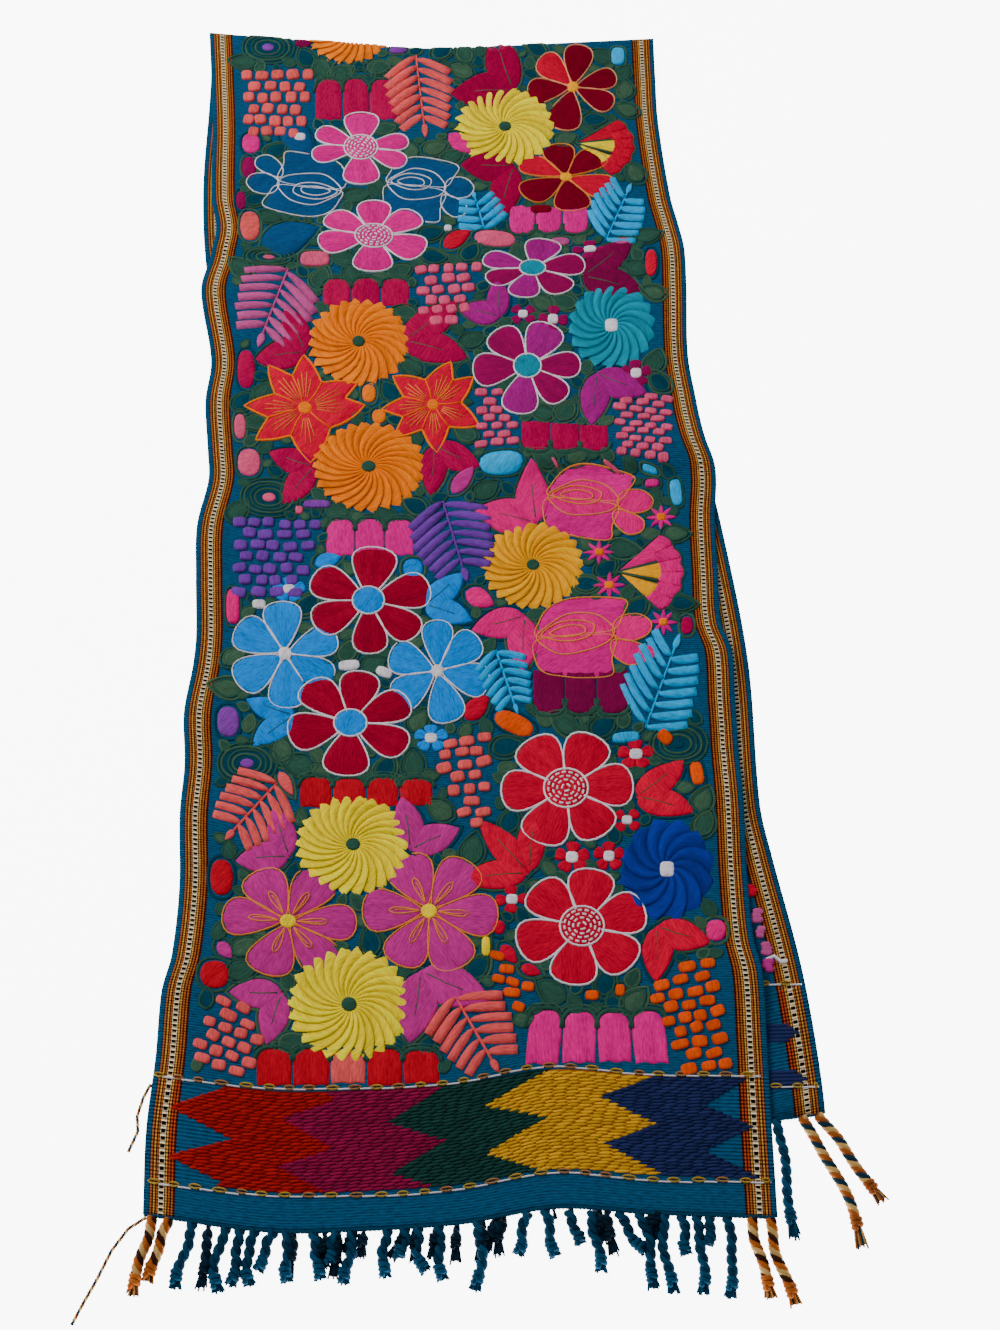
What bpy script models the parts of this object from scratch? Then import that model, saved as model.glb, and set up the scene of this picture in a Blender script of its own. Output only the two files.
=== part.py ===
"""Embroidered table runner, folded once across its length and lying face up on a flat surface.

The cloth is one sheet: a lower layer, wrong side up, a rounded fold at the far end, and an
upper layer whose selvedges ripple. A knotted fringe stands off each hem on a narrow strip.

Metres, +Z up. +X runs across the cloth, +Y from the front hem to the fold. The origin is on
the resting face, under the middle of the cloth. Tables are in millimetres, and "along" is
measured from the middle of the front hem towards the fold.
"""
from collections import namedtuple
import math

import bmesh
import bpy
from mathutils import Vector

MM = 0.001

CLOTH_THICKNESS = 2.2 * MM
LAYER_GAP = 1.0 * MM
FLOOR_CLEARANCE = 0.2 * MM
HEM_TO_ORIGIN = 483.0
FOLD_HEIGHT = 8.0 * MM
FOLD_SETTLE = 38.0
DROP_START = 3.0
DROP_LENGTH = 28.0
RIPPLE_REACH = 85.0

HALF_COLUMNS = 6
UPPER_ROWS = 104
FOLD_ROWS = 6
LOWER_ROWS = 24

STRIP_GAP = 0.3 * MM
STRIP_WIDTH = 2.6 * MM
STRIP_HEIGHT = 1.8 * MM
FRONT_WIDTH = 3.0 * MM
BACK_WIDTH = 2.6 * MM
KNOT_WIDTH = 4.2 * MM
TUFT_WIDTH = 2.2 * MM
TAIL_WIDTH = 2.0 * MM
STRAND_STEPS = (0.0, 0.15, 0.3, 0.45, 0.6, 0.72, 0.8, 0.88, 1.0)
KNOT_STEP = 0.8
STRAND_LANDING = 16.0
STRAND_FLOOR = 0.1 * MM
BACK_STRANDS = 26
BACK_TIP = 5.0

# A row for each place where the upper layer's selvedges turn or lift.
Station = namedtuple("Station", "along left right lift_left lift_right")
UPPER_EDGES = (
    Station(-10, -188, 188, 0.0, 0.0),
    Station(12, -188, 189, 0.0, 0.0),
    Station(60, -189, 191, 1.0, 0.5),
    Station(105, -186, 193, 0.5, 2.0),
    Station(145, -184, 194, 4.0, 5.0),
    Station(168, -179, 191, 3.0, 3.0),
    Station(214, -177, 192, 0.5, 0.5),
    Station(262, -179, 194, 3.0, 4.0),
    Station(300, -178, 195, 1.0, 1.0),
    Station(335, -180, 196, 3.5, 2.0),
    Station(372, -176, 197, 1.0, 5.0),
    Station(396, -175, 192, 0.5, 3.0),
    Station(440, -177, 194, 3.0, 0.5),
    Station(482, -178, 196, 5.0, 1.0),
    Station(523, -172, 200, 2.0, 3.0),
    Station(550, -174, 194, 1.0, 5.0),
    Station(590, -177, 191, 4.5, 2.0),
    Station(630, -175, 189, 1.5, 0.5),
    Station(694, -185, 193, 5.5, 3.5),
    Station(728, -180, 194, 3.0, 6.0),
    Station(755, -176, 192, 4.5, 2.5),
    Station(787, -181, 188, 6.0, 1.0),
    Station(865, -184, 184, 3.0, 3.5),
    Station(920, -188, 186, 0.5, 1.0),
    Station(978, -192, 188, 0.0, 0.0),
)

# The lower layer lies flat and a little askew, so its right border shows beside the upper layer.
LowerStation = namedtuple("LowerStation", "along left right")
LOWER_EDGES = (
    LowerStation(28, -156, 224),
    LowerStation(80, -158, 225),
    LowerStation(149, -160, 221),
    LowerStation(225, -163, 210),
    LowerStation(260, -164, 206),
    LowerStation(368, -168, 209),
    LowerStation(475, -171, 201),
    LowerStation(600, -173, 187),
    LowerStation(700, -181, 188),
    LowerStation(755, -187, 188),
    LowerStation(815, -190, 184),
    LowerStation(889, -189, 182),
    LowerStation(930, -189, 186),
    LowerStation(978, -192, 188),
)

# The lines across the cloth, from the left selvedge (-1) to the right one (+1).
CrossStation = namedtuple("CrossStation", "across hem crease back_hem")
CROSS_LINES = (
    CrossStation(-1.0, 12, 976, 30),
    CrossStation(-0.6, 0, 966, 36),
    CrossStation(-0.3, -1, 959, 40),
    CrossStation(0.0, 1, 955, 44),
    CrossStation(0.3, 8, 957, 48),
    CrossStation(0.6, 3, 960, 52),
    CrossStation(1.0, -2, 964, 58),
)

# Ridges that run across the cloth: steep towards the hem, gentle towards the fold.
Tuck = namedtuple("Tuck", "along left right height near far")
TUCKS = (
    Tuck(533, 10, 215, 6.5, 13, 48),
    Tuck(742, -215, -40, 2.5, 16, 40),
    Tuck(318, 40, 215, 2.2, 16, 40),
)
TUCK_END_FADE = 55.0

# A row for each loose strand at the front hem: where it starts and ends, and how far it bows.
Strand = namedtuple("Strand", "root tip reach bow")
FRONT_STRANDS = (
    Strand(-182, -193, -33, 1),
    Strand(-172, -181, -26, -2),
    Strand(-158, -167, -30, 0),
    Strand(-138, -143, -33, -3),
    Strand(-130, -135, -30, 1),
    Strand(-121, -122, -30, -4),
    Strand(-110, -117, -22, -2),
    Strand(-102, -101, -29, -1),
    Strand(-87, -84, -28, 1),
    Strand(-73, -76, -19, -2),
    Strand(-64, -69, -31, 1),
    Strand(-43, -46, -28, -1),
    Strand(-33, -36, -17, 1),
    Strand(-25, -22, -26, -2),
    Strand(-13, -12, -31, 0),
    Strand(10, 9, -37, 2),
    Strand(40, 34, -18, -1),
    Strand(50, 54, -20, 1),
    Strand(64, 69, -13, 1),
    Strand(78, 83, -29, -1),
    Strand(94, 108, -19, -1),
    Strand(106, 111, -39, 3),
    Strand(121, 123, -42, -2),
    Strand(131, 132, -21, 1),
    Strand(140, 140, -43, 2),
    Strand(148, 147, -16, 0),
    Strand(158, 154, -46, 4),
    Strand(173, 182, -46, -2),
    Strand(184, 194, -51, -2),
)

# Strands of the back hem that come out from under the upper layer.
SHOWING_BACK_STRANDS = (
    Strand(-150, -154, -31, 4),
    Strand(-54, -58, -17, -2),
    Strand(-2, -2, -21, 0),
    Strand(24, 22, -18, 1),
    Strand(87, 90, -20, -1),
    Strand(194, 197, -14, 1),
    Strand(210, 238, -20, 4),
    Strand(220, 251, 5, 2),
)
SHOWING_CLEARANCE = 6.5

# The long sewing thread that runs off the front left corner.
THREAD_TAIL = ((-186, 10), (-196, 4), (-205, -8), (-212, -23), (-219, -36), (-225, -48))


def smooth(value):
    """Ease from 0 to 1 with no slope at either end."""
    value = min(1.0, max(0.0, value))
    return value * value * (3.0 - 2.0 * value)


def read_rows(rows, column, place):
    """Value of a column at a place between rows, on a smooth curve through them."""
    keys = [row[0] for row in rows]
    values = [getattr(row, column) for row in rows]
    if place <= keys[0]:
        return values[0]
    if place >= keys[-1]:
        return values[-1]
    index = max(number for number, key in enumerate(keys) if key <= place)
    span = keys[index + 1] - keys[index]
    step = (place - keys[index]) / span

    def slope(number):
        low = max(0, number - 1)
        high = min(len(keys) - 1, number + 1)
        return (values[high] - values[low]) / (keys[high] - keys[low])

    eased = smooth(step)
    start = step * (1.0 - step) ** 2 * span * slope(index)
    finish = step ** 2 * (1.0 - step) * span * slope(index + 1)
    return values[index] * (1.0 - eased) + values[index + 1] * eased + start - finish


def plan_point(x, along, height):
    """World point from a place on the plan, in millimetres, and a height in metres."""
    return Vector((x * MM, (along - HEM_TO_ORIGIN) * MM, height))


def across_edges(rows, across, along):
    """Place across the cloth, in millimetres, between its two selvedges."""
    left = read_rows(rows, "left", along)
    right = read_rows(rows, "right", along)
    return left + (right - left) * (across + 1.0) / 2.0


def resting_height(x, along):
    """Underside of the upper layer: on the lower layer, or down on the floor beside it."""
    inside_left = x - read_rows(LOWER_EDGES, "left", along)
    inside_right = read_rows(LOWER_EDGES, "right", along) - x
    outside = -min(inside_left, inside_right)
    on_lower = CLOTH_THICKNESS + LAYER_GAP
    dropped = smooth((outside - DROP_START) / DROP_LENGTH)
    return on_lower + (FLOOR_CLEARANCE - on_lower) * dropped


def ripple_height(x, along):
    """Lift of the selvedges, which fades towards the middle of the cloth."""
    from_left = x - read_rows(UPPER_EDGES, "left", along)
    from_right = read_rows(UPPER_EDGES, "right", along) - x
    left = read_rows(UPPER_EDGES, "lift_left", along) * smooth(1.0 - from_left / RIPPLE_REACH)
    right = read_rows(UPPER_EDGES, "lift_right", along) * smooth(1.0 - from_right / RIPPLE_REACH)
    return max(0.0, left + right) * MM


def tuck_height(x, along):
    """Height of the ridges that run across the cloth."""
    total = 0.0
    for tuck in TUCKS:
        distance = along - tuck.along
        reach = tuck.far if distance > 0.0 else tuck.near
        ends = smooth((x - tuck.left) / TUCK_END_FADE) * smooth((tuck.right - x) / TUCK_END_FADE)
        total += tuck.height * smooth(1.0 - abs(distance) / reach) * ends
    return total * MM


def upper_top(x, along, crease):
    """Height of the upper layer's face, which rises over the fold."""
    flat_top = resting_height(x, along) + CLOTH_THICKNESS
    near_fold = smooth(1.0 - (crease - along) / FOLD_SETTLE)
    shape = ripple_height(x, along) + tuck_height(x, along)
    return flat_top + (FOLD_HEIGHT - flat_top) * near_fold + shape * (1.0 - near_fold)


def column_places():
    """Places across the cloth of the grid's columns, closest together at the selvedges."""
    quarter = math.pi / 2.0
    steps = range(-HALF_COLUMNS, HALF_COLUMNS + 1)
    return [math.sin(quarter * step / HALF_COLUMNS) for step in steps]


def face_column(across):
    """Points of the cloth's face down one warp thread: upper layer, fold, lower layer."""
    hem = read_rows(CROSS_LINES, "hem", across)
    crease = read_rows(CROSS_LINES, "crease", across)
    back_hem = read_rows(CROSS_LINES, "back_hem", across)
    radius = FOLD_HEIGHT / 2.0
    turn = crease - radius / MM
    points = []
    for row in range(UPPER_ROWS + 1):
        along = hem + (turn - hem) * row / UPPER_ROWS
        x = across_edges(UPPER_EDGES, across, along)
        points.append(plan_point(x, along, upper_top(x, along, turn)))
    for row in range(1, FOLD_ROWS):
        angle = math.pi * (0.5 - row / FOLD_ROWS)
        x = across_edges(UPPER_EDGES, across, turn)
        reach = turn + math.cos(angle) * radius / MM
        points.append(plan_point(x, reach, radius + math.sin(angle) * radius))
    for row in range(LOWER_ROWS + 1):
        along = turn + (back_hem - turn) * row / LOWER_ROWS
        points.append(plan_point(across_edges(LOWER_EDGES, across, along), along, 0.0))
    return points


def new_object(name, mesh, material, collection):
    """Object of a mesh, with its material, in a collection."""
    piece = bpy.data.objects.new(name, mesh)
    if material:
        mesh.materials.append(material)
    collection.objects.link(piece)
    return piece


def grid_mesh(name, columns):
    """Open surface through columns of points, one quad between each four neighbours."""
    surface = bmesh.new()
    verts = [[surface.verts.new(point) for point in column] for column in columns]
    for left, right in zip(verts, verts[1:]):
        for row in range(len(left) - 1):
            surface.faces.new((left[row], right[row], right[row + 1], left[row + 1]))
    mesh = bpy.data.meshes.new(name)
    surface.to_mesh(mesh)
    surface.free()
    return mesh


def solidify(piece, thickness):
    """Thicken an open surface on the side away from its normals."""
    modifier = piece.modifiers.new("thickness", "SOLIDIFY")
    modifier.thickness = thickness
    modifier.offset = -1.0
    modifier.use_even_offset = True


def make_cloth(material, collection):
    """The one woven sheet, from the front hem over the fold to the back hem."""
    columns = [face_column(across) for across in column_places()]
    piece = new_object("cloth", grid_mesh("cloth", columns), material, collection)
    piece.data.shade_smooth()
    solidify(piece, CLOTH_THICKNESS)


def front_hem_point(across, outwards):
    """Point beyond the front hem, at the height of the cloth's face there."""
    hem = read_rows(CROSS_LINES, "hem", across)
    x = across_edges(UPPER_EDGES, across, hem)
    return plan_point(x, hem - outwards / MM, upper_top(x, hem, hem + FOLD_SETTLE * 2.0))


def back_hem_point(across, outwards):
    """Point beyond the back hem, at the height of the lower layer's inner face."""
    back_hem = read_rows(CROSS_LINES, "back_hem", across)
    x = across_edges(LOWER_EDGES, across, back_hem)
    return plan_point(x, back_hem - outwards / MM, CLOTH_THICKNESS)


def make_strip(name, hem_point, material, collection):
    """Narrow backing strip that stands off a hem and holds the roots of its strands."""
    lowered = Vector((0.0, 0.0, (CLOTH_THICKNESS - STRIP_HEIGHT) / 2.0))
    columns = []
    for across in column_places():
        outer = hem_point(across, STRIP_GAP + STRIP_WIDTH) - lowered
        inner = hem_point(across, STRIP_GAP) - lowered
        columns.append([outer, inner])
    piece = new_object(name, grid_mesh(name, columns), material, collection)
    solidify(piece, STRIP_HEIGHT)
    return piece


def place_on_hem(hem_point, x):
    """Point inside the strip beside a place across the cloth."""
    points = [hem_point(across, STRIP_GAP + STRIP_WIDTH * 0.4) for across in column_places()]
    index = max(number for number, point in enumerate(points[:-1]) if point.x <= x * MM)
    start, finish = points[index], points[index + 1]
    point = start.lerp(finish, (x * MM - start.x) / (finish.x - start.x))
    point.z -= CLOTH_THICKNESS / 2.0
    return point


def strand_width(step, width, knot_width):
    """Width down a strand: even yarn, a knot near the tip, then a tuft."""
    if step == STRAND_STEPS[-1]:
        return TUFT_WIDTH
    return knot_width if step == KNOT_STEP else width


def strand_route(root, strand, yarn_width, knot_width):
    """Points and widths of a strand that drops from its hem and lies on the floor."""
    tip = plan_point(strand.tip, strand.reach, 0.0)
    route = []
    for step in STRAND_STEPS:
        width = strand_width(step, yarn_width, knot_width)
        x = root.x + (tip.x - root.x) * step + strand.bow * MM * math.sin(math.pi * step)
        y = root.y + (tip.y - root.y) * step
        lying = smooth((root.y - y) / (STRAND_LANDING * MM))
        floor = STRAND_FLOOR + width / 2.0
        route.append((Vector((x, y, max(floor, root.z + (floor - root.z) * lying))), width))
    return route


def tail_route():
    """Points and widths of the long sewing thread on the floor."""
    route = []
    for x, along in THREAD_TAIL:
        route.append((plan_point(x, along, STRAND_FLOOR + TAIL_WIDTH / 2.0), TAIL_WIDTH))
    return route


def back_routes():
    """Strands of the back hem: the ones that show, and flattened ones under the upper layer."""
    routes = []
    for strand in SHOWING_BACK_STRANDS:
        root = place_on_hem(back_hem_point, strand.root)
        routes.append(strand_route(root, strand, BACK_WIDTH, KNOT_WIDTH))
    for number in range(BACK_STRANDS):
        across = 2.0 * (number + 0.5) / BACK_STRANDS - 1.0
        root = back_hem_point(across, 0.0).x / MM
        tip = root - 1.5 + 1.5 * math.sin(number * 2.3)
        if all(abs(tip - other.root) > SHOWING_CLEARANCE for other in SHOWING_BACK_STRANDS):
            hidden = Strand(root, tip, BACK_TIP + 4.0 * math.sin(number * 1.7), 0)
            start = place_on_hem(back_hem_point, root)
            routes.append(strand_route(start, hidden, BACK_WIDTH, BACK_WIDTH))
    return routes


def strands_mesh(routes):
    """Four-sided tubes along routes, lying on one flat side, as one mesh."""
    curve = bpy.data.curves.new("strands", "CURVE")
    curve.dimensions = "3D"
    curve.twist_mode = "Z_UP"
    curve.bevel_depth = 1.0
    curve.bevel_resolution = 0
    curve.use_fill_caps = True
    for route in routes:
        spline = curve.splines.new("POLY")
        spline.points.add(len(route) - 1)
        for point, (place, width) in zip(spline.points, route):
            point.co = (*place, 1.0)
            point.radius = width / math.sqrt(2.0)
            point.tilt = math.pi / 4.0
    holder = bpy.data.objects.new("strands", curve)
    bpy.context.scene.collection.objects.link(holder)
    evaluated = holder.evaluated_get(bpy.context.evaluated_depsgraph_get())
    mesh = bpy.data.meshes.new_from_object(evaluated)
    bpy.data.objects.remove(holder)
    welded = bmesh.new()
    welded.from_mesh(mesh)
    bmesh.ops.remove_doubles(welded, verts=welded.verts, dist=0.02 * MM)
    bmesh.ops.recalc_face_normals(welded, faces=welded.faces)
    welded.to_mesh(mesh)
    welded.free()
    return mesh


def make_fringe(name, hem_point, routes, material, collection, cutters):
    """Backing strip with its strands' roots fused into it."""
    strip = make_strip(name, hem_point, material, collection)
    strands = new_object(name + "_strands", strands_mesh(routes), None, cutters)
    strands.hide_render = True
    strands.display_type = "WIRE"
    join = strip.modifiers.new("strands", "BOOLEAN")
    join.operation = "UNION"
    join.solver = "EXACT"
    join.object = strands


def make_material(name, colour, roughness):
    """Matt yarn finish."""
    material = bpy.data.materials.new(name)
    material.use_nodes = True
    shader = material.node_tree.nodes["Principled BSDF"]
    shader.inputs["Base Color"].default_value = (*colour, 1.0)
    shader.inputs["Roughness"].default_value = roughness
    shader.inputs["Metallic"].default_value = 0.0
    return material


def main():
    for leftover in list(bpy.data.objects):
        bpy.data.objects.remove(leftover)
    collection = bpy.data.collections.new("table_runner")
    cutters = bpy.data.collections.new("cutters")
    bpy.context.scene.collection.children.link(collection)
    bpy.context.scene.collection.children.link(cutters)

    ground = make_material("teal_cotton", (0.012, 0.093, 0.171), 0.85)
    yarn = make_material("teal_yarn", (0.010, 0.070, 0.110), 0.8)

    make_cloth(ground, collection)
    front = [tail_route()]
    for strand in FRONT_STRANDS:
        root = place_on_hem(front_hem_point, strand.root)
        front.append(strand_route(root, strand, FRONT_WIDTH, KNOT_WIDTH))
    make_fringe("fringe_front", front_hem_point, front, yarn, collection, cutters)
    make_fringe("fringe_back", back_hem_point, back_routes(), yarn, collection, cutters)


main()
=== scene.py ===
"""Looks of an embroidered table runner, folded once across and lying face up.

The cloth, its stitching and its fringe are laid on one shape, the class Drape, which has the
sizes of the solids. Tables are in millimetres: x runs across the cloth from its middle, and
"along" runs from the middle of the front hem towards the fold. Motifs are placed by their
middle and extent in the photograph's 1000 by 1330 frame, through the fitted camera.
"""
from __future__ import annotations

import logging
import math
import random
from dataclasses import dataclass
from enum import Enum
from typing import NamedTuple, Sequence

import bpy
import numpy as np
from mathutils import Matrix, Vector


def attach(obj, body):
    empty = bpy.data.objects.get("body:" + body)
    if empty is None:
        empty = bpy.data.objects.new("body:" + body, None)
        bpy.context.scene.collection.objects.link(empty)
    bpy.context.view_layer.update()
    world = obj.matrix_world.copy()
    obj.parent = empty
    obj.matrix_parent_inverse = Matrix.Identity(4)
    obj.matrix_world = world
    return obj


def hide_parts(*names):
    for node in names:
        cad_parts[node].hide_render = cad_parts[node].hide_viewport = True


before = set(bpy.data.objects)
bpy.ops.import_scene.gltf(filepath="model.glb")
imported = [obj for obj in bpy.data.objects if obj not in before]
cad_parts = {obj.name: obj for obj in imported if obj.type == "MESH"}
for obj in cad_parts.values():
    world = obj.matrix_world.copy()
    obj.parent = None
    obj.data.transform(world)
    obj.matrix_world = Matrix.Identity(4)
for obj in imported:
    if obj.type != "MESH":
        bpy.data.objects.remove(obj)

logging.basicConfig(level=logging.INFO, format="%(message)s")
LOG = logging.getLogger("table_runner")

MM = 0.001
BODY = "root"
TINT = "tint"
CLOTH_UV = "cloth_metres"
COTTON_SPECULAR = 0.04


def linear(hex_colour: str) -> tuple[float, float, float, float]:
    """Turn an sRGB hex colour into linear RGBA.

    Args:
        hex_colour: six hex digits, such as "1B5673".

    Returns:
        The linear colour with full alpha.
    """
    channels = [int(hex_colour[start:start + 2], 16) / 255.0 for start in (0, 2, 4)]
    values = [c / 12.92 if c <= 0.04045 else ((c + 0.055) / 1.055) ** 2.4 for c in channels]
    return (*values, 1.0)


class Thread(Enum):
    """The dyed threads of the embroidery, each a little deeper than it looks under the lights."""

    YELLOW = "FADA00"
    ORANGE = "FA7A00"
    GOLD = "FAA600"
    AMBER = "E89040"
    SALMON = "E85656"
    BLUSH = "E05078"
    CORAL = "D70034"
    PINK = "DC0884"
    HOT_PINK = "E80886"
    ROSE = "EA0A7A"
    CRIMSON = "AE0046"
    WINE = "98003A"
    DARK_RED = "74001C"
    DEEP_RED = "970428"
    RED = "C5002E"
    SCARLET = "B80A22"
    MAGENTA = "8F004E"
    PLUM = "770040"
    MAUVE = "BC2A84"
    ORCHID = "A0107C"
    LILAC = "C0508C"
    PURPLE = "7038A0"
    VIOLET = "8038A0"
    CYAN = "00A8E6"
    SKY = "0082DE"
    TURQUOISE = "0088A0"
    DEEP_BLUE = "0A4878"
    ROYAL = "142E90"
    BRICK_ORANGE = "E84E00"
    LEAF = "2A5042"
    MOSS = "3C5C46"
    LAGOON = "0A3E50"
    WHITE = "E6DEE4"
    PEACH = "F0A070"


def add_node(tree: bpy.types.NodeTree, kind: str, settings: dict | None = None,
             inputs: dict | None = None) -> bpy.types.Node:
    """Add a shader node with its settings and links.

    Args:
        tree: the node tree that takes the node.
        kind: the node's type name.
        settings: attribute names and values.
        inputs: input names or numbers, each with a value or with a socket to link from.

    Returns:
        The new node.
    """
    node = tree.nodes.new(kind)
    for name, value in (settings or {}).items():
        setattr(node, name, value)
    set_inputs(tree, node, inputs or {})
    return node


def set_inputs(tree: bpy.types.NodeTree, node: bpy.types.Node, inputs: dict) -> None:
    """Set a node's inputs to values, or link them from sockets.

    Args:
        tree: the node tree.
        node: the node.
        inputs: input names or numbers, each with a value or a socket.
    """
    for name, value in inputs.items():
        if isinstance(value, bpy.types.NodeSocket):
            tree.links.new(value, node.inputs[name])
        else:
            node.inputs[name].default_value = value


def start_material(name: str) -> tuple[bpy.types.Material, bpy.types.NodeTree, bpy.types.Node]:
    """Make a material; give it with its node tree and its shader.

    Args:
        name: the material's name.

    Returns:
        The material, its node tree and its surface shader.
    """
    material = bpy.data.materials.new(name)
    material.use_nodes = True
    return material, material.node_tree, material.node_tree.nodes["Principled BSDF"]


def smooth(value: np.ndarray | float) -> np.ndarray | float:
    """Ease from 0 to 1 with no slope at either end."""
    value = np.clip(value, 0.0, 1.0)
    return value * value * (3.0 - 2.0 * value)


def toned(hex_colour: str, factor: float = 1.0) -> np.ndarray:
    """Linear RGBA of a hex colour, lighter or darker by a factor."""
    return np.array(linear(hex_colour)) * (factor, factor, factor, 1.0)


def grid_faces(grid: np.ndarray, corners: tuple[int, ...] = (0, 1, 2, 3),
               closed: bool = False) -> list[list[int]]:
    """Four-sided faces between the rows and columns of a grid of point numbers.

    Args:
        grid: the point numbers.
        corners: order of a face's corners, which sets the side that it looks to.
        closed: whether the last column joins the first.

    Returns:
        The point numbers of each face, row by row.
    """
    if closed:
        grid = np.hstack((grid, grid[:, :1]))
    around = (grid[:-1, :-1], grid[:-1, 1:], grid[1:, 1:], grid[1:, :-1])
    return np.stack([around[corner].ravel() for corner in corners], axis=1).tolist()


def make_mesh(name: str, points: np.ndarray, faces: list, finish: bpy.types.Material,
              flat: np.ndarray | None = None,
              tints: np.ndarray | None = None) -> bpy.types.Object:
    """Make a smooth mesh and put it in the scene.

    Args:
        name: the piece's name.
        points: its points in the world, in metres.
        faces: point numbers of each face.
        finish: its material.
        flat: place of each point in the material's pattern, in metres.
        tints: linear colour of each point.

    Returns:
        The new object.
    """
    mesh = bpy.data.meshes.new(name)
    mesh.from_pydata(points.tolist(), [], faces)
    if flat is not None:
        corners = np.empty(len(mesh.loops), np.int32)
        mesh.loops.foreach_get("vertex_index", corners)
        layer = mesh.uv_layers.new(name=CLOTH_UV)
        layer.data.foreach_set("uv", flat[corners].astype(np.float32).ravel())
    if tints is not None:
        layer = mesh.color_attributes.new(TINT, "FLOAT_COLOR", "POINT")
        layer.data.foreach_set("color", np.clip(tints, 0.0, 1.0).astype(np.float32).ravel())
    mesh.materials.append(finish)
    mesh.shade_smooth()
    piece = bpy.data.objects.new(name, mesh)
    bpy.context.scene.collection.objects.link(piece)
    LOG.info("%s: %d faces", name, len(faces))
    return piece


class Rows:
    """A table of named columns that is read between its rows on a smooth curve."""

    def __init__(self, names: str, rows: Sequence[Sequence[float]]) -> None:
        """Keep the columns of the rows; the first column is the place.

        Args:
            names: the columns' names, with a space between them.
            rows: the rows.
        """
        table = np.array(rows, float)
        self.columns = dict(zip(names.split(), table.T))
        self.keys = table[:, 0]

    def read(self, column: str, place: np.ndarray | float) -> np.ndarray:
        """Value of a column at places between rows.

        Args:
            column: the column's name.
            place: one place or many, in the first column's unit.

        Returns:
            The values there.
        """
        values = self.columns[column]
        slopes = np.empty_like(values)
        slopes[1:-1] = (values[2:] - values[:-2]) / (self.keys[2:] - self.keys[:-2])
        slopes[0] = (values[1] - values[0]) / (self.keys[1] - self.keys[0])
        slopes[-1] = (values[-1] - values[-2]) / (self.keys[-1] - self.keys[-2])
        place = np.clip(np.asarray(place, float), self.keys[0], self.keys[-1])
        index = np.clip(np.searchsorted(self.keys, place, side="right") - 1, 0, len(values) - 2)
        span = self.keys[index + 1] - self.keys[index]
        step = (place - self.keys[index]) / span
        eased = smooth(step)
        start = step * (1.0 - step) ** 2 * span * slopes[index]
        finish = step ** 2 * (1.0 - step) * span * slopes[index + 1]
        return values[index] * (1.0 - eased) + values[index + 1] * eased + start - finish


class Tuck(NamedTuple):
    """A ridge across the cloth, steep towards the hem and gentle towards the fold."""

    along: float
    left: float
    right: float
    height: float
    near: float
    far: float


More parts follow.
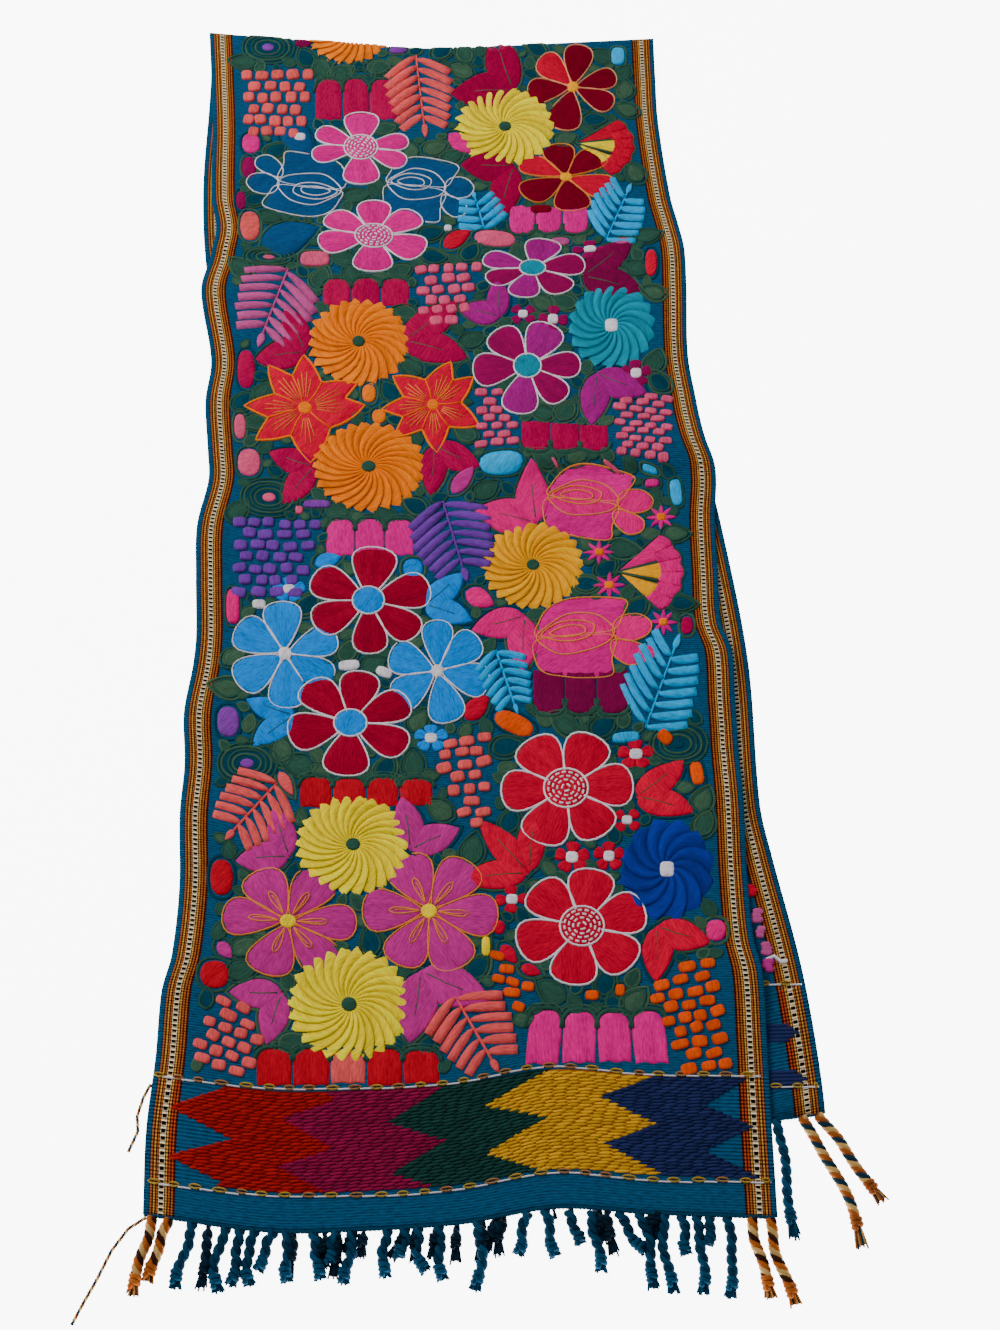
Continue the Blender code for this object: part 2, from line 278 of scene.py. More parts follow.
class Drape:
    """The shape in which the folded runner lies, with the sizes of its solids."""

    thickness = 2.2
    layer_gap = 1.0
    floor_clearance = 0.2
    hem_to_origin = 483.0
    fold_height = 8.0
    fold_settle = 38.0
    drop_start = 3.0
    drop_length = 28.0
    ripple_reach = 85.0
    tuck_end_fade = 55.0
    relief = 0.8
    width = 380.0
    lowest = 0.06

    # Where the upper layer's selvedges lie, and how high they lift there.
    upper = Rows("along left right lift_left lift_right", (
        (-10, -188, 188, 0.0, 0.0), (12, -188, 189, 0.0, 0.0), (60, -189, 191, 1.0, 0.5),
        (105, -186, 193, 0.5, 2.0), (145, -184, 194, 4.0, 5.0), (168, -179, 191, 3.0, 3.0),
        (214, -177, 192, 0.5, 0.5), (262, -179, 194, 3.0, 4.0), (300, -178, 195, 1.0, 1.0),
        (335, -180, 196, 3.5, 2.0), (372, -176, 197, 1.0, 5.0), (396, -175, 192, 0.5, 3.0),
        (440, -177, 194, 3.0, 0.5), (482, -178, 196, 5.0, 1.0), (523, -172, 200, 2.0, 3.0),
        (550, -174, 194, 1.0, 5.0), (590, -177, 191, 4.5, 2.0), (630, -175, 189, 1.5, 0.5),
        (694, -185, 193, 5.5, 3.5), (728, -180, 194, 3.0, 6.0), (755, -176, 192, 4.5, 2.5),
        (787, -181, 188, 6.0, 1.0), (865, -184, 184, 3.0, 3.5), (920, -188, 186, 0.5, 1.0),
        (978, -192, 188, 0.0, 0.0),
    ))
    # Where the lower layer's selvedges lie.
    lower = Rows("along left right", (
        (28, -156, 224), (80, -158, 225), (149, -160, 221), (225, -163, 210),
        (260, -164, 206), (368, -168, 209), (475, -171, 201), (600, -173, 187),
        (700, -181, 188), (755, -187, 188), (815, -190, 184), (889, -189, 182),
        (930, -189, 186), (978, -192, 188),
    ))
    # Lines across the cloth, by the share of the way from its left selvedge to its right one.
    cross = Rows("across hem crease back_hem", (
        (-1.0, 12, 976, 30), (-0.6, 0, 966, 36), (-0.3, -1, 959, 40), (0.0, 1, 955, 44),
        (0.3, 8, 957, 48), (0.6, 3, 960, 52), (1.0, -2, 964, 58),
    ))
    tucks = (
        Tuck(533, 10, 215, 6.5, 13, 48),
        Tuck(742, -215, -40, 2.5, 16, 40),
        Tuck(318, 40, 215, 2.2, 16, 40),
    )

    def across_at(self, x: np.ndarray, along: np.ndarray) -> np.ndarray:
        """Share of the way from the left selvedge (-1) to the right one (+1).

        Args:
            x: places across the cloth.
            along: places from the front hem.

        Returns:
            The shares, beyond -1 and +1 outside the cloth.
        """
        left = self.upper.read("left", along)
        right = self.upper.read("right", along)
        return 2.0 * (x - left) / (right - left) - 1.0

    def edge_point(self, rows: Rows, across: np.ndarray, along: np.ndarray) -> np.ndarray:
        """Place across the cloth between a layer's two selvedges.

        Args:
            rows: the layer's table.
            across: shares from -1 to +1.
            along: places from the front hem.

        Returns:
            Places from the cloth's middle.
        """
        left = rows.read("left", along)
        return left + (rows.read("right", along) - left) * (across + 1.0) / 2.0

    def turn(self, across: np.ndarray) -> np.ndarray:
        """Where the upper layer starts to turn over the fold."""
        return self.cross.read("crease", across) - self.fold_height / 2.0

    def face_height(self, x: np.ndarray, along: np.ndarray) -> np.ndarray:
        """Height of the upper layer's face, stitching included.

        Args:
            x: places across the cloth.
            along: places from the front hem, up to the fold.

        Returns:
            Heights above the surface, in millimetres.
        """
        inside_left = x - self.lower.read("left", along)
        inside_right = self.lower.read("right", along) - x
        outside = -np.minimum(inside_left, inside_right)
        on_lower = self.thickness + self.layer_gap
        dropped = smooth((outside - self.drop_start) / self.drop_length)
        flat_top = on_lower + (self.floor_clearance - on_lower) * dropped + self.thickness
        from_left = x - self.upper.read("left", along)
        from_right = self.upper.read("right", along) - x
        left = self.upper.read("lift_left", along) * smooth(1.0 - from_left / self.ripple_reach)
        right = self.upper.read("lift_right", along) * smooth(1.0 - from_right / self.ripple_reach)
        shape = np.maximum(0.0, left + right)
        for tuck in self.tucks:
            distance = along - tuck.along
            reach = np.where(distance > 0.0, tuck.far, tuck.near)
            ends = smooth((x - tuck.left) / self.tuck_end_fade)
            ends = ends * smooth((tuck.right - x) / self.tuck_end_fade)
            shape = shape + tuck.height * smooth(1.0 - np.abs(distance) / reach) * ends
        across = np.clip(self.across_at(x, along), -1.0, 1.0)
        near_fold = smooth(1.0 - (self.turn(across) - along) / self.fold_settle)
        return flat_top + (self.fold_height - flat_top) * near_fold + shape * (1.0 - near_fold)

    def wrap(self, x: np.ndarray, along: np.ndarray, turn: np.ndarray,
             lift: np.ndarray | float) -> np.ndarray:
        """Lay flat places over the fold, which starts at a given place along the cloth.

        Args:
            x: places across the cloth.
            along: places from the front hem; past the fold they run on round it.
            turn: where the cloth starts to turn over.
            lift: heights above the woven ground of the face.

        Returns:
            World points in metres, in the last axis.
        """
        radius = self.fold_height / 2.0
        past = np.maximum(0.0, along - turn)
        angle = np.minimum(past / radius, math.pi)
        under = np.maximum(0.0, past - math.pi * radius)
        reach = radius - self.relief + lift
        height = self.face_height(x, np.minimum(along, turn)) - self.relief + lift
        y = np.where(past > 0.0, turn + np.sin(angle) * reach - under, along)
        z = np.where(past > 0.0, radius + np.cos(angle) * reach, height)
        z = np.maximum(z, self.lowest)
        return np.stack((x, y - self.hem_to_origin, z), axis=-1) * MM

    def lay(self, x: np.ndarray, along: np.ndarray, lift: np.ndarray | float) -> np.ndarray:
        """Lay flat places on the cloth's face.

        Args:
            x: places across the cloth.
            along: places from the front hem; past the fold they run on round it.
            lift: heights above the woven ground.

        Returns:
            World points in metres, in the last axis.
        """
        x, along, lift = np.broadcast_arrays(*(np.asarray(v, float) for v in (x, along, lift)))
        turn = self.turn(np.clip(self.across_at(x, along), -1.0, 1.0))
        return self.wrap(x, along, turn, lift)

    def lay_lower(self, x: np.ndarray, along: np.ndarray, lift: np.ndarray) -> np.ndarray:
        """Lay flat places on the side of the lower layer that shows beside the upper one."""
        return np.stack((x, along - self.hem_to_origin, self.thickness + lift), axis=-1) * MM

    def hem_at(self, x: np.ndarray | float) -> np.ndarray:
        """Where the front hem lies, at a place across the cloth.

        Args:
            x: one place or many, from the cloth's middle.

        Returns:
            How far along the hem lies there.
        """
        x = np.asarray(x, float)
        return self.cross.read("hem", np.clip(self.across_at(x, np.full_like(x, 10.0)), -1, 1))


@dataclass(frozen=True)
class PhotoCamera:
    """The photograph's viewpoint, fitted to the corners of the cloth."""

    position: tuple[float, float, float] = (0.0002, -0.6067, 1.0032)
    yaw_deg: float = -4.14
    pitch_deg: float = 63.745
    roll_deg: float = 2.447
    focal_px: float = 1608.0
    frame_px: tuple[float, float] = (1000.0, 1330.0)
    sensor_mm: float = 36.0

    def axes(self) -> tuple[Vector, Vector, Vector]:
        """Right, up and forward directions of the view.

        Returns:
            The three directions.
        """
        pitch = math.radians(self.pitch_deg)
        yaw = Matrix.Rotation(math.radians(self.yaw_deg), 3, "Z")
        forward = yaw @ Vector((0.0, math.cos(pitch), -math.sin(pitch)))
        up = yaw @ Vector((0.0, math.sin(pitch), math.cos(pitch)))
        right = yaw @ Vector((1.0, 0.0, 0.0))
        roll = Matrix.Rotation(-math.radians(self.roll_deg), 3, forward)
        return roll @ right, roll @ up, forward

    def place(self, px: float, py: float, height: float) -> tuple[float, float]:
        """Place on the cloth under a point of the photograph.

        Args:
            px: pixels from the frame's left side.
            py: pixels from the frame's top.
            height: height of the cloth's face there, in millimetres.

        Returns:
            The place across and along the cloth, in millimetres.
        """
        right, up, forward = self.axes()
        ray = (right * (px - self.frame_px[0] / 2.0) - up * (py - self.frame_px[1] / 2.0)
               + forward * self.focal_px)
        eye = Vector(self.position)
        point = eye + ray * ((height * MM - eye.z) / ray.z)
        return point.x / MM, point.y / MM + Drape.hem_to_origin

    def build(self) -> None:
        """Create the scene's camera."""
        data = bpy.data.cameras.new("photo_camera")
        data.sensor_fit = "VERTICAL"
        data.sensor_height = self.sensor_mm
        data.lens = self.focal_px / self.frame_px[1] * self.sensor_mm
        camera = bpy.data.objects.new("photo_camera", data)
        right, up, forward = self.axes()
        turn = Matrix((right, up, -forward)).transposed().to_4x4()
        camera.matrix_world = Matrix.Translation(self.position) @ turn
        bpy.context.scene.collection.objects.link(camera)
        bpy.context.scene.camera = camera


class StitchMesh:
    """Collects raised stitching in flat millimetres, then lays it all on the drape at once."""

    pad_rings = ((1.0, -0.25), (0.965, 0.5), (0.87, 0.82), (0.62, 0.96), (0.3, 1.0))
    strip_section = ((-1.0, -0.3), (-0.78, 0.62), (0.0, 1.0), (0.78, 0.62), (1.0, -0.3))

    def __init__(self, name: str, seed: int) -> None:
        """Start an empty collector.

        Args:
            name: the piece's name.
            seed: seed of the small differences between stitches.
        """
        self.name = name
        self.random = random.Random(seed)
        self.places: list[np.ndarray] = []
        self.threads: list[np.ndarray] = []
        self.tints: list[np.ndarray] = []
        self.faces: list[tuple[int, ...]] = []
        self.count = 0

    def add(self, places: np.ndarray, threads: np.ndarray, tint: np.ndarray) -> int:
        """Add points and give the number of the first.

        Args:
            places: across, along and lift of each point, in millimetres.
            threads: distance along and across the threads at each point, in millimetres.
            tint: one linear colour, or one a point.

        Returns:
            The first point's number.
        """
        start = self.count
        self.places.append(places)
        self.threads.append(threads + self.random.random() * 97.0)
        self.tints.append(np.broadcast_to(tint, (len(places), 4)))
        self.count += len(places)
        return start

    def shade(self, thread: Thread, spread: float = 0.07) -> np.ndarray:
        """Linear colour of a thread, a little lighter or darker each time."""
        factor = 1.0 + self.random.uniform(-spread, spread)
        return toned(thread.value, factor)

    def pad(self, outline: np.ndarray, thread: Thread, height: float, angle: float = 0.0,
            lift: float = 0.0) -> None:
        """Add a satin-stitched pad: a low dome inside a closed outline.

        Args:
            outline: points of the outline in flat millimetres, seen from its middle only once.
            thread: the thread's colour.
            height: height of the dome, in millimetres.
            angle: direction of its threads, in radians.
            lift: height that it starts from, in millimetres.
        """
        middle = outline.mean(axis=0)
        number = len(outline)
        rings = [middle + (outline - middle) * share for share, _ in self.pad_rings]
        flat = np.concatenate(rings + [middle[None, :]])
        rise = [lift + height * part for _, part in self.pad_rings for _ in range(number)]
        lifts = np.array(rise + [lift + height])
        direction = np.array(((math.cos(angle), -math.sin(angle)),
                              (math.sin(angle), math.cos(angle))))
        start = self.add(np.column_stack((flat, lifts)), flat @ direction, self.shade(thread))
        turned = self.area(outline) < 0.0
        grid = start + np.arange(len(rings) * number).reshape(len(rings), number)
        self.faces += grid_faces(grid, (3, 2, 1, 0) if turned else (0, 1, 2, 3), True)
        tip = start + len(rings) * number
        last = grid[-1].tolist()
        for point, following in zip(last, last[1:] + last[:1]):
            face = (point, following, tip)
            self.faces.append(face[::-1] if turned else face)

    @staticmethod
    def area(outline: np.ndarray) -> float:
        """Area inside an outline.

        Args:
            outline: its points.

        Returns:
            The area, below zero where the outline runs clockwise.
        """
        following = np.roll(outline, -1, axis=0)
        return 0.5 * float(np.sum(outline[:, 0] * following[:, 1]
                                  - outline[:, 1] * following[:, 0]))

    def strip(self, line: np.ndarray, half_width: float | np.ndarray,
              thread: Thread | np.ndarray, height: float, lift: float = 0.0,
              closed: bool = False) -> None:
        """Add a raised line of thread or a bar of satin stitch along a line.

        Args:
            line: points of the middle line in flat millimetres.
            half_width: half of the line's width, one for all or one a point.
            thread: the thread, or a linear colour.
            height: height of the line's middle.
            lift: height that it starts from.
            closed: whether the last point joins the first.
        """
        if closed:
            line = np.vstack((line, line[:1]))
        number = len(line)
        steps = np.gradient(line, axis=0)
        if closed:
            ends = line[1] - line[-2]
            steps[0] = ends
            steps[-1] = ends
        steps = steps / np.maximum(np.linalg.norm(steps, axis=1, keepdims=True), 1e-9)
        side = np.column_stack((-steps[:, 1], steps[:, 0]))
        half = np.broadcast_to(np.asarray(half_width, float), (number,))
        length = np.concatenate(((0.0,), np.cumsum(np.linalg.norm(np.diff(line, axis=0), axis=1))))
        section = np.array(self.strip_section)
        points = line[:, None, :] + side[:, None, :] * (half[:, None] * section[:, 0])[..., None]
        lifts = lift + height * np.broadcast_to(section[:, 1], (number, len(section)))
        places = np.concatenate((points, lifts[..., None]), axis=2).reshape(-1, 3)
        across = half[:, None] * section[:, 0]
        along = np.broadcast_to(length[:, None], across.shape)
        threads = np.stack((along, across), axis=2).reshape(-1, 2)
        tint = self.shade(thread) if isinstance(thread, Thread) else thread
        start = self.add(places, threads, tint)
        grid = start + np.arange(number * len(section)).reshape(number, len(section))
        self.faces += grid_faces(grid, (1, 0, 3, 2))
        if not closed:
            self.faces += [grid[0].tolist(), grid[-1, ::-1].tolist()]

    def build(self, drape: Drape, finish: bpy.types.Material,
              lower: bool = False) -> bpy.types.Object:
        """Lay all the stitching on the drape as one mesh.

        Args:
            drape: the shape that carries it.
            finish: its material.
            lower: whether it lies on the lower layer.

        Returns:
            The new object.
        """
        flat = np.concatenate(self.places)
        lay = drape.lay_lower if lower else drape.lay
        piece = make_mesh(self.name, lay(flat[:, 0], flat[:, 1], flat[:, 2]), self.faces, finish,
                          np.concatenate(self.threads) * MM, np.concatenate(self.tints))
        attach(piece, BODY)
        return piece


class Kind(Enum):
    """Kinds of embroidered motif."""

    WHEEL = "many spiral petals round a small heart"
    FLOWER = "broad round petals with an outline"
    STAR = "pointed petals with an outline and stamens"
    FEATHER = "a leaf of separate bars beside a vein"
    BRICKS = "staggered rows of small blocks"
    SCALLOPS = "a row of arches"
    TULIP = "two blades that open from one base"
    ROSE = "a bud with nested outlines and side petals"
    OVAL = "a plain oval"
    RINGS = "ovals inside each other"
    BUD = "a small flower with a pale heart"
    LEAF = "one leaf with a vein"
    FAN = "blades that spread from one base"
    BLOCK = "a small plain block"
    CHAIN = "a row of small green arches"


class Heart(Enum):
    """Ways to fill the middle of a flower."""

    PLAIN = "plain disc"
    RING = "disc inside an outline"
    DOTTED = "disc with rings of small dashes"
    STAMENS = "small disc with looped stamens"


class Motif(NamedTuple):
    """A motif by its middle and half extents in the photograph's frame.

    The turn is in degrees from pointing up; petals lists the directions of uneven petals, and
    others lists the parts that have the other thread.
    """

    kind: Kind
    px: float
    py: float
    half_w: float
    half_h: float
    thread: Thread
    edge: Thread = Thread.WHITE
    heart: Thread = Thread.WHITE
    turn: float = 0.0
    count: int = 6
    style: Heart = Heart.PLAIN
    taper: float = 1.0
    skew: float = 0.0
    petals: tuple[float, ...] = ()
    other: Thread = Thread.ROSE
    others: tuple[int, ...] = ()


# Short names, for the table only.
K, T, H = Kind, Thread, Heart
MOTIFS = (
    Motif(K.RINGS, 268, 47, 27, 15, T.LEAF, heart=T.VIOLET),
    Motif(K.WHEEL, 348, 31, 42, 30, T.ORANGE, heart=T.LEAF, count=24),
    Motif(K.OVAL, 303, 43, 8, 4, T.PLUM),
    Motif(K.OVAL, 398, 50, 9, 3, T.VIOLET),
    Motif(K.BRICKS, 276, 103, 38, 35, T.SALMON, count=6, taper=0.85, skew=-0.1),
    Motif(K.CHAIN, 351, 69, 41, 8, T.LEAF, count=4),
    Motif(K.SCALLOPS, 356, 99, 41, 22, T.CRIMSON, count=3),
    Motif(K.FEATHER, 421, 97, 34, 40, T.SALMON, turn=-173, count=7),
    Motif(K.FLOWER, 361, 147.5, 51, 37, T.PINK, heart=T.PINK, style=H.DOTTED,
          petals=(90, 12, -28, -90, -167, 153)),
    Motif(K.FLOWER, 374, 236, 57, 36, T.PINK, heart=T.PINK, style=H.DOTTED,
          petals=(88, 38, -24, -90, -165, 145)),
    Motif(K.ROSE, 296, 184, 49, 33, T.DEEP_BLUE, turn=180, other=T.DEEP_BLUE),
    Motif(K.ROSE, 429, 189, 45, 33, T.DEEP_BLUE, other=T.DEEP_BLUE),
    Motif(K.LEAF, 298, 139, 20, 14, T.DEEP_BLUE, turn=-40),
    Motif(K.BLOCK, 300, 137, 6, 4, T.WHITE),
    Motif(K.OVAL, 251, 143, 9, 10, T.HOT_PINK),
    Motif(K.OVAL, 249, 167, 7, 11, T.MAGENTA),
    Motif(K.OVAL, 241, 200, 5, 9, T.MAGENTA),
    Motif(K.OVAL, 250, 225, 10, 15, T.SALMON),
    Motif(K.LEAF, 290, 236, 30, 16, T.DEEP_BLUE, turn=20),
    Motif(K.RINGS, 269, 257, 27, 9, T.LEAF, heart=T.BLUSH),
    Motif(K.BLOCK, 315, 259, 15, 7, T.BLUSH),
    Motif(K.TULIP, 488, 72, 31, 32, T.WINE, turn=55),
    Motif(K.WHEEL, 505, 126, 49, 38.5, T.YELLOW, heart=T.LEAF, count=24),
    Motif(K.FLOWER, 573, 87, 47, 43, T.DARK_RED, edge=T.PEACH, heart=T.GOLD,
          petals=(135, 80, 15, -28, -105, -175), other=T.RED, others=(0,)),
    Motif(K.FLOWER, 566, 177, 53, 34, T.DARK_RED, edge=T.AMBER, heart=T.GOLD,
          petals=(151, 100, 45, -22, -80, -143), other=T.RED, others=(0, 3)),
    Motif(K.BLOCK, 618, 56, 7, 8, T.CYAN),
    Motif(K.FAN, 605, 146, 27, 29, T.RED, heart=T.YELLOW, turn=-97),
    Motif(K.TULIP, 492, 181, 28, 28, T.WINE, turn=125),
    Motif(K.LEAF, 460, 143, 15, 8, T.HOT_PINK, turn=-40),
    Motif(K.FEATHER, 479, 210, 24, 20, T.CYAN, turn=17, count=4),
    Motif(K.FEATHER, 619, 211, 29, 31, T.CYAN, turn=-24, count=6, taper=1.4),
    Motif(K.SCALLOPS, 549, 219, 40, 14, T.PINK, count=3, turn=180),
    Motif(K.BLOCK, 541, 209, 11, 4, T.DARK_RED),
    Motif(K.BLOCK, 448, 228, 4, 3, T.WHITE),
    Motif(K.LEAF, 457, 238, 16, 8, T.RED, turn=30),
    Motif(K.OVAL, 495, 238, 21, 8, T.BLUSH, turn=-5),
    Motif(K.OVAL, 560, 241, 10, 4, T.LILAC),
    Motif(K.OVAL, 622, 241, 8, 4, T.LILAC),
    Motif(K.FEATHER, 273, 307, 40, 42, T.LILAC, turn=159, count=7),
    Motif(K.SCALLOPS, 366, 292, 44, 14, T.CRIMSON, count=3),
    Motif(K.BRICKS, 446, 294, 36, 31, T.BLUSH, count=6, taper=0.65, skew=-0.3, turn=4),
    Motif(K.WHEEL, 358.6, 341, 50.5, 43, T.ORANGE, heart=T.LEAF, count=24),
    Motif(K.WHEEL, 368.6, 466, 56.5, 44, T.ORANGE, heart=T.LEAF, count=26),
    Motif(K.STAR, 305, 408, 60, 54, T.CORAL, edge=T.ORANGE,
          petals=(91, 128, 180, 216, 275, 3, 28)),
    Motif(K.STAR, 433, 405, 51, 47, T.CORAL, edge=T.ORANGE,
          petals=(142, 185, 222, 274, -26, 37, 69)),
    Motif(K.TULIP, 284, 339, 26, 26, T.CRIMSON, turn=60),
    Motif(K.TULIP, 441, 334, 25, 38, T.CRIMSON, turn=-80),
    Motif(K.TULIP, 290, 473, 23, 26, T.CRIMSON, turn=105),
    Motif(K.TULIP, 447, 468, 24, 27, T.CRIMSON, turn=-150),
    Motif(K.OVAL, 369, 393, 7, 9, T.ORANGE),
    Motif(K.OVAL, 379, 416, 7, 7, T.ORANGE),
    Motif(K.OVAL, 246, 369, 9, 20, T.CRIMSON),
    Motif(K.OVAL, 240, 426, 6, 12, T.BLUSH),
    Motif(K.OVAL, 249, 462, 11.5, 14, T.BLUSH),
    Motif(K.RINGS, 269, 497, 30, 20, T.LEAF, heart=T.BLUSH),
    Motif(K.LEAF, 463, 479, 18, 8, T.MAUVE, turn=50),
    Motif(K.FLOWER, 532.5, 268, 52.5, 31, T.MAGENTA, heart=T.TURQUOISE, style=H.RING,
          petals=(72, 8, -49, -101, -156, 157), other=T.ORCHID, others=(0, 3, 5)),
    Motif(K.FLOWER, 527.5, 366, 55, 48, T.MAGENTA, heart=T.TURQUOISE, style=H.RING,
          petals=(127, 63, 0, -47, -102, -175), other=T.ORCHID, others=(1, 4)),
    Motif(K.BUD, 590, 249, 18, 9, T.MAGENTA, count=4),
    Motif(K.BUD, 523, 314, 14, 11, T.MAGENTA, count=4, turn=45),
    Motif(K.BUD, 553, 319, 15, 14, T.MAGENTA, count=4),
    Motif(K.BUD, 636, 373, 16, 14, T.MAGENTA, count=5),
    Motif(K.TULIP, 617, 269, 23, 35, T.PLUM, turn=-80),
    Motif(K.OVAL, 651, 262, 6, 13, T.CORAL),
    Motif(K.WHEEL, 611.5, 325, 45, 44, T.TURQUOISE, count=18),
    Motif(K.TULIP, 487, 301, 21, 21, T.ORCHID, turn=40),
    Motif(K.TULIP, 610, 396, 27, 28, T.ORCHID, turn=-150),
    Motif(K.BRICKS, 497, 418, 23, 30, T.BLUSH, count=7),
    Motif(K.BRICKS, 643, 424, 34, 38, T.BLUSH, count=9, taper=0.8, skew=0.25, turn=-8),
    Motif(K.SCALLOPS, 565, 436, 44, 17, T.CRIMSON, count=3, turn=180),
    Motif(K.OVAL, 501, 461, 22, 11, T.CYAN),
    Motif(K.BRICKS, 272, 557, 47, 40, T.PURPLE, count=7, taper=0.75, skew=-0.25),
    Motif(K.SCALLOPS, 370, 537, 44.5, 19, T.PINK, count=3),
    Motif(K.FEATHER, 455, 541, 42, 42, T.PURPLE, turn=-163, count=7),
    Motif(K.BLOCK, 317, 504, 14, 4, T.VIOLET),
    Motif(K.BLOCK, 299, 510, 4, 4, T.BLUSH),
    Motif(K.LEAF, 328, 560, 14, 8, T.SKY, turn=15),
    Motif(K.OVAL, 413, 568, 10, 9.5, T.SKY),
    Motif(K.FLOWER, 368.5, 600.5, 64, 55, T.DEEP_RED, heart=T.SKY, style=H.RING,
          petals=(83, 14, -41, -89, -153, 154)),
    Motif(K.FLOWER, 350.5, 723, 66, 54, T.DEEP_RED, heart=T.SKY, style=H.RING,
          petals=(79, 24, -27, -96, -166, 131)),
    Motif(K.FLOWER, 285, 653.5, 57, 54, T.SKY, petals=(92, 19, -32, -88, 214, 151)),
    Motif(K.FLOWER, 437.5, 671, 53, 54, T.SKY, petals=(90, 38, -15, -75, -145, 160)),
    Motif(K.BUD, 289, 589, 17, 13, T.SKY, count=5),
    Motif(K.BUD, 431, 738, 18, 14, T.SKY, count=5),
    Motif(K.BLOCK, 233, 606, 7, 17, T.ROSE),
    Motif(K.BLOCK, 259, 604, 7, 4.5, T.WHITE),
    Motif(K.BLOCK, 349, 665, 11, 5, T.WHITE, turn=5),
    Motif(K.BLOCK, 384, 672, 8.5, 5, T.WHITE, turn=-20),
    Motif(K.TULIP, 452, 600, 21, 28, T.SKY, turn=-80),
    Motif(K.TULIP, 266, 719, 20, 29, T.SKY, turn=98),
    Motif(K.OVAL, 228, 721, 11, 15, T.VIOLET),
    Motif(K.TULIP, 516, 499, 31, 32, T.ROSE, turn=40),
    Motif(K.ROSE, 598.6, 503, 54.6, 37, T.PINK, edge=T.AMBER),
    Motif(K.ROSE, 592.8, 636, 60, 42, T.PINK, edge=T.AMBER, turn=10),
    Motif(K.WHEEL, 533, 564.5, 50, 43, T.GOLD, heart=T.LEAF, count=24),
    Motif(K.BUD, 661, 517, 16, 13, T.PINK, heart=T.ORANGE, count=8),
    Motif(K.BUD, 599, 552, 16, 13, T.PINK, heart=T.ORANGE, count=8),
    Motif(K.BUD, 609, 585, 17, 14, T.PINK, heart=T.ORANGE, count=8),
    Motif(K.BUD, 663, 622, 15, 14, T.PINK, heart=T.ORANGE, count=8),
    Motif(K.FAN, 650, 572, 38, 33, T.ROSE, heart=T.GOLD, turn=-90),
    Motif(K.LEAF, 480, 598, 16, 10, T.ROSE, turn=-25),
    Motif(K.TULIP, 507, 637, 28, 29, T.ROSE, turn=140),
    Motif(K.FEATHER, 507, 682, 26, 34, T.CYAN, turn=-161, count=6),
    Motif(K.FEATHER, 663, 680, 38, 50, T.CYAN, turn=-20, count=7, taper=1.4),
    Motif(K.SCALLOPS, 581, 691, 48, 24, T.PLUM, count=3, turn=180, other=T.ORCHID),
    Motif(K.BLOCK, 612, 468, 10, 4, T.BLUSH),
    Motif(K.BLOCK, 555, 463, 3, 7, T.BLUSH, turn=15),
    Motif(K.BLOCK, 650, 470, 8, 4, T.CYAN),
    Motif(K.BLOCK, 652, 483, 7, 4, T.PINK),
    Motif(K.BLOCK, 676, 492, 6, 13, T.CYAN, turn=8),
    Motif(K.OVAL, 687, 625, 6, 9, T.CRIMSON),
    Motif(K.LEAF, 647, 653, 12, 9, T.ROSE, turn=25),
    Motif(K.LEAF, 477, 707, 17, 10, T.RED, turn=45),
    Motif(K.OVAL, 514, 723, 21, 10, T.BRICK_ORANGE, turn=-25),
    Motif(K.RINGS, 247, 763, 31, 21, T.LEAF, heart=T.VIOLET),
    Motif(K.FEATHER, 251, 811, 38, 39, T.SALMON, turn=138, count=6),
    Motif(K.LEAF, 286, 783, 14, 6, T.SALMON, turn=-60),
    Motif(K.SCALLOPS, 366, 792, 67, 15, T.SCARLET, count=4),
    Motif(K.TULIP, 268, 841, 28, 27, T.MAUVE, turn=55),
    Motif(K.TULIP, 424, 826, 28, 28, T.MAUVE, turn=-30),
    Motif(K.WHEEL, 353, 844, 57, 49, T.YELLOW, heart=T.LEAF, count=26),
    Motif(K.WHEEL, 349, 1004, 61, 57, T.YELLOW, heart=T.LEAF, count=26),
    Motif(K.FLOWER, 288, 921, 69, 58, T.MAUVE, edge=T.AMBER, heart=T.YELLOW, style=H.STAMENS,
          petals=(117, 60, 0, -52, -112, 175)),
    Motif(K.FLOWER, 429, 911, 69, 62, T.MAUVE, edge=T.AMBER, heart=T.YELLOW, style=H.STAMENS,
          petals=(112, 52, -5, -62, -118, 178)),
    Motif(K.OVAL, 221.5, 877, 11.5, 18, T.SCARLET),
    Motif(K.LEAF, 225, 950, 11, 7, T.MAUVE, turn=-50),
    Motif(K.OVAL, 214.5, 974, 14.5, 14, T.SCARLET),
    Motif(K.TULIP, 260, 1008, 27, 28, T.MAUVE, turn=125),
    Motif(K.TULIP, 438, 1003, 38, 38, T.MAUVE, turn=-152),
    Motif(K.BRICKS, 231, 1036, 37, 36, T.SALMON, count=6, taper=1.25, turn=-22),
    Motif(K.SCALLOPS, 348, 1067, 92, 18, T.SCARLET, count=5, other=T.SALMON, others=(2,)),
    Motif(K.FEATHER, 477, 1034, 42, 44, T.SALMON, turn=-150, count=6),
    Motif(K.BRICKS, 468, 782, 36, 48, T.SALMON, count=8, taper=0.4, skew=0.2, turn=8),
    Motif(K.FLOWER, 566, 788, 67, 59, T.RED, heart=T.RED, turn=64, style=H.DOTTED),
    Motif(K.FLOWER, 582, 926, 67, 60, T.RED, heart=T.RED, turn=19, style=H.DOTTED),
    Motif(K.BUD, 636, 754, 19, 15, T.RED, count=5),
    Motif(K.BUD, 627, 820, 15, 13, T.RED, count=4, turn=45),
    Motif(K.BUD, 572, 857, 18, 16, T.RED, count=5),
    Motif(K.BUD, 609, 856, 16, 15, T.RED, count=5),
    Motif(K.BUD, 512, 899, 17, 14, T.RED, count=4),
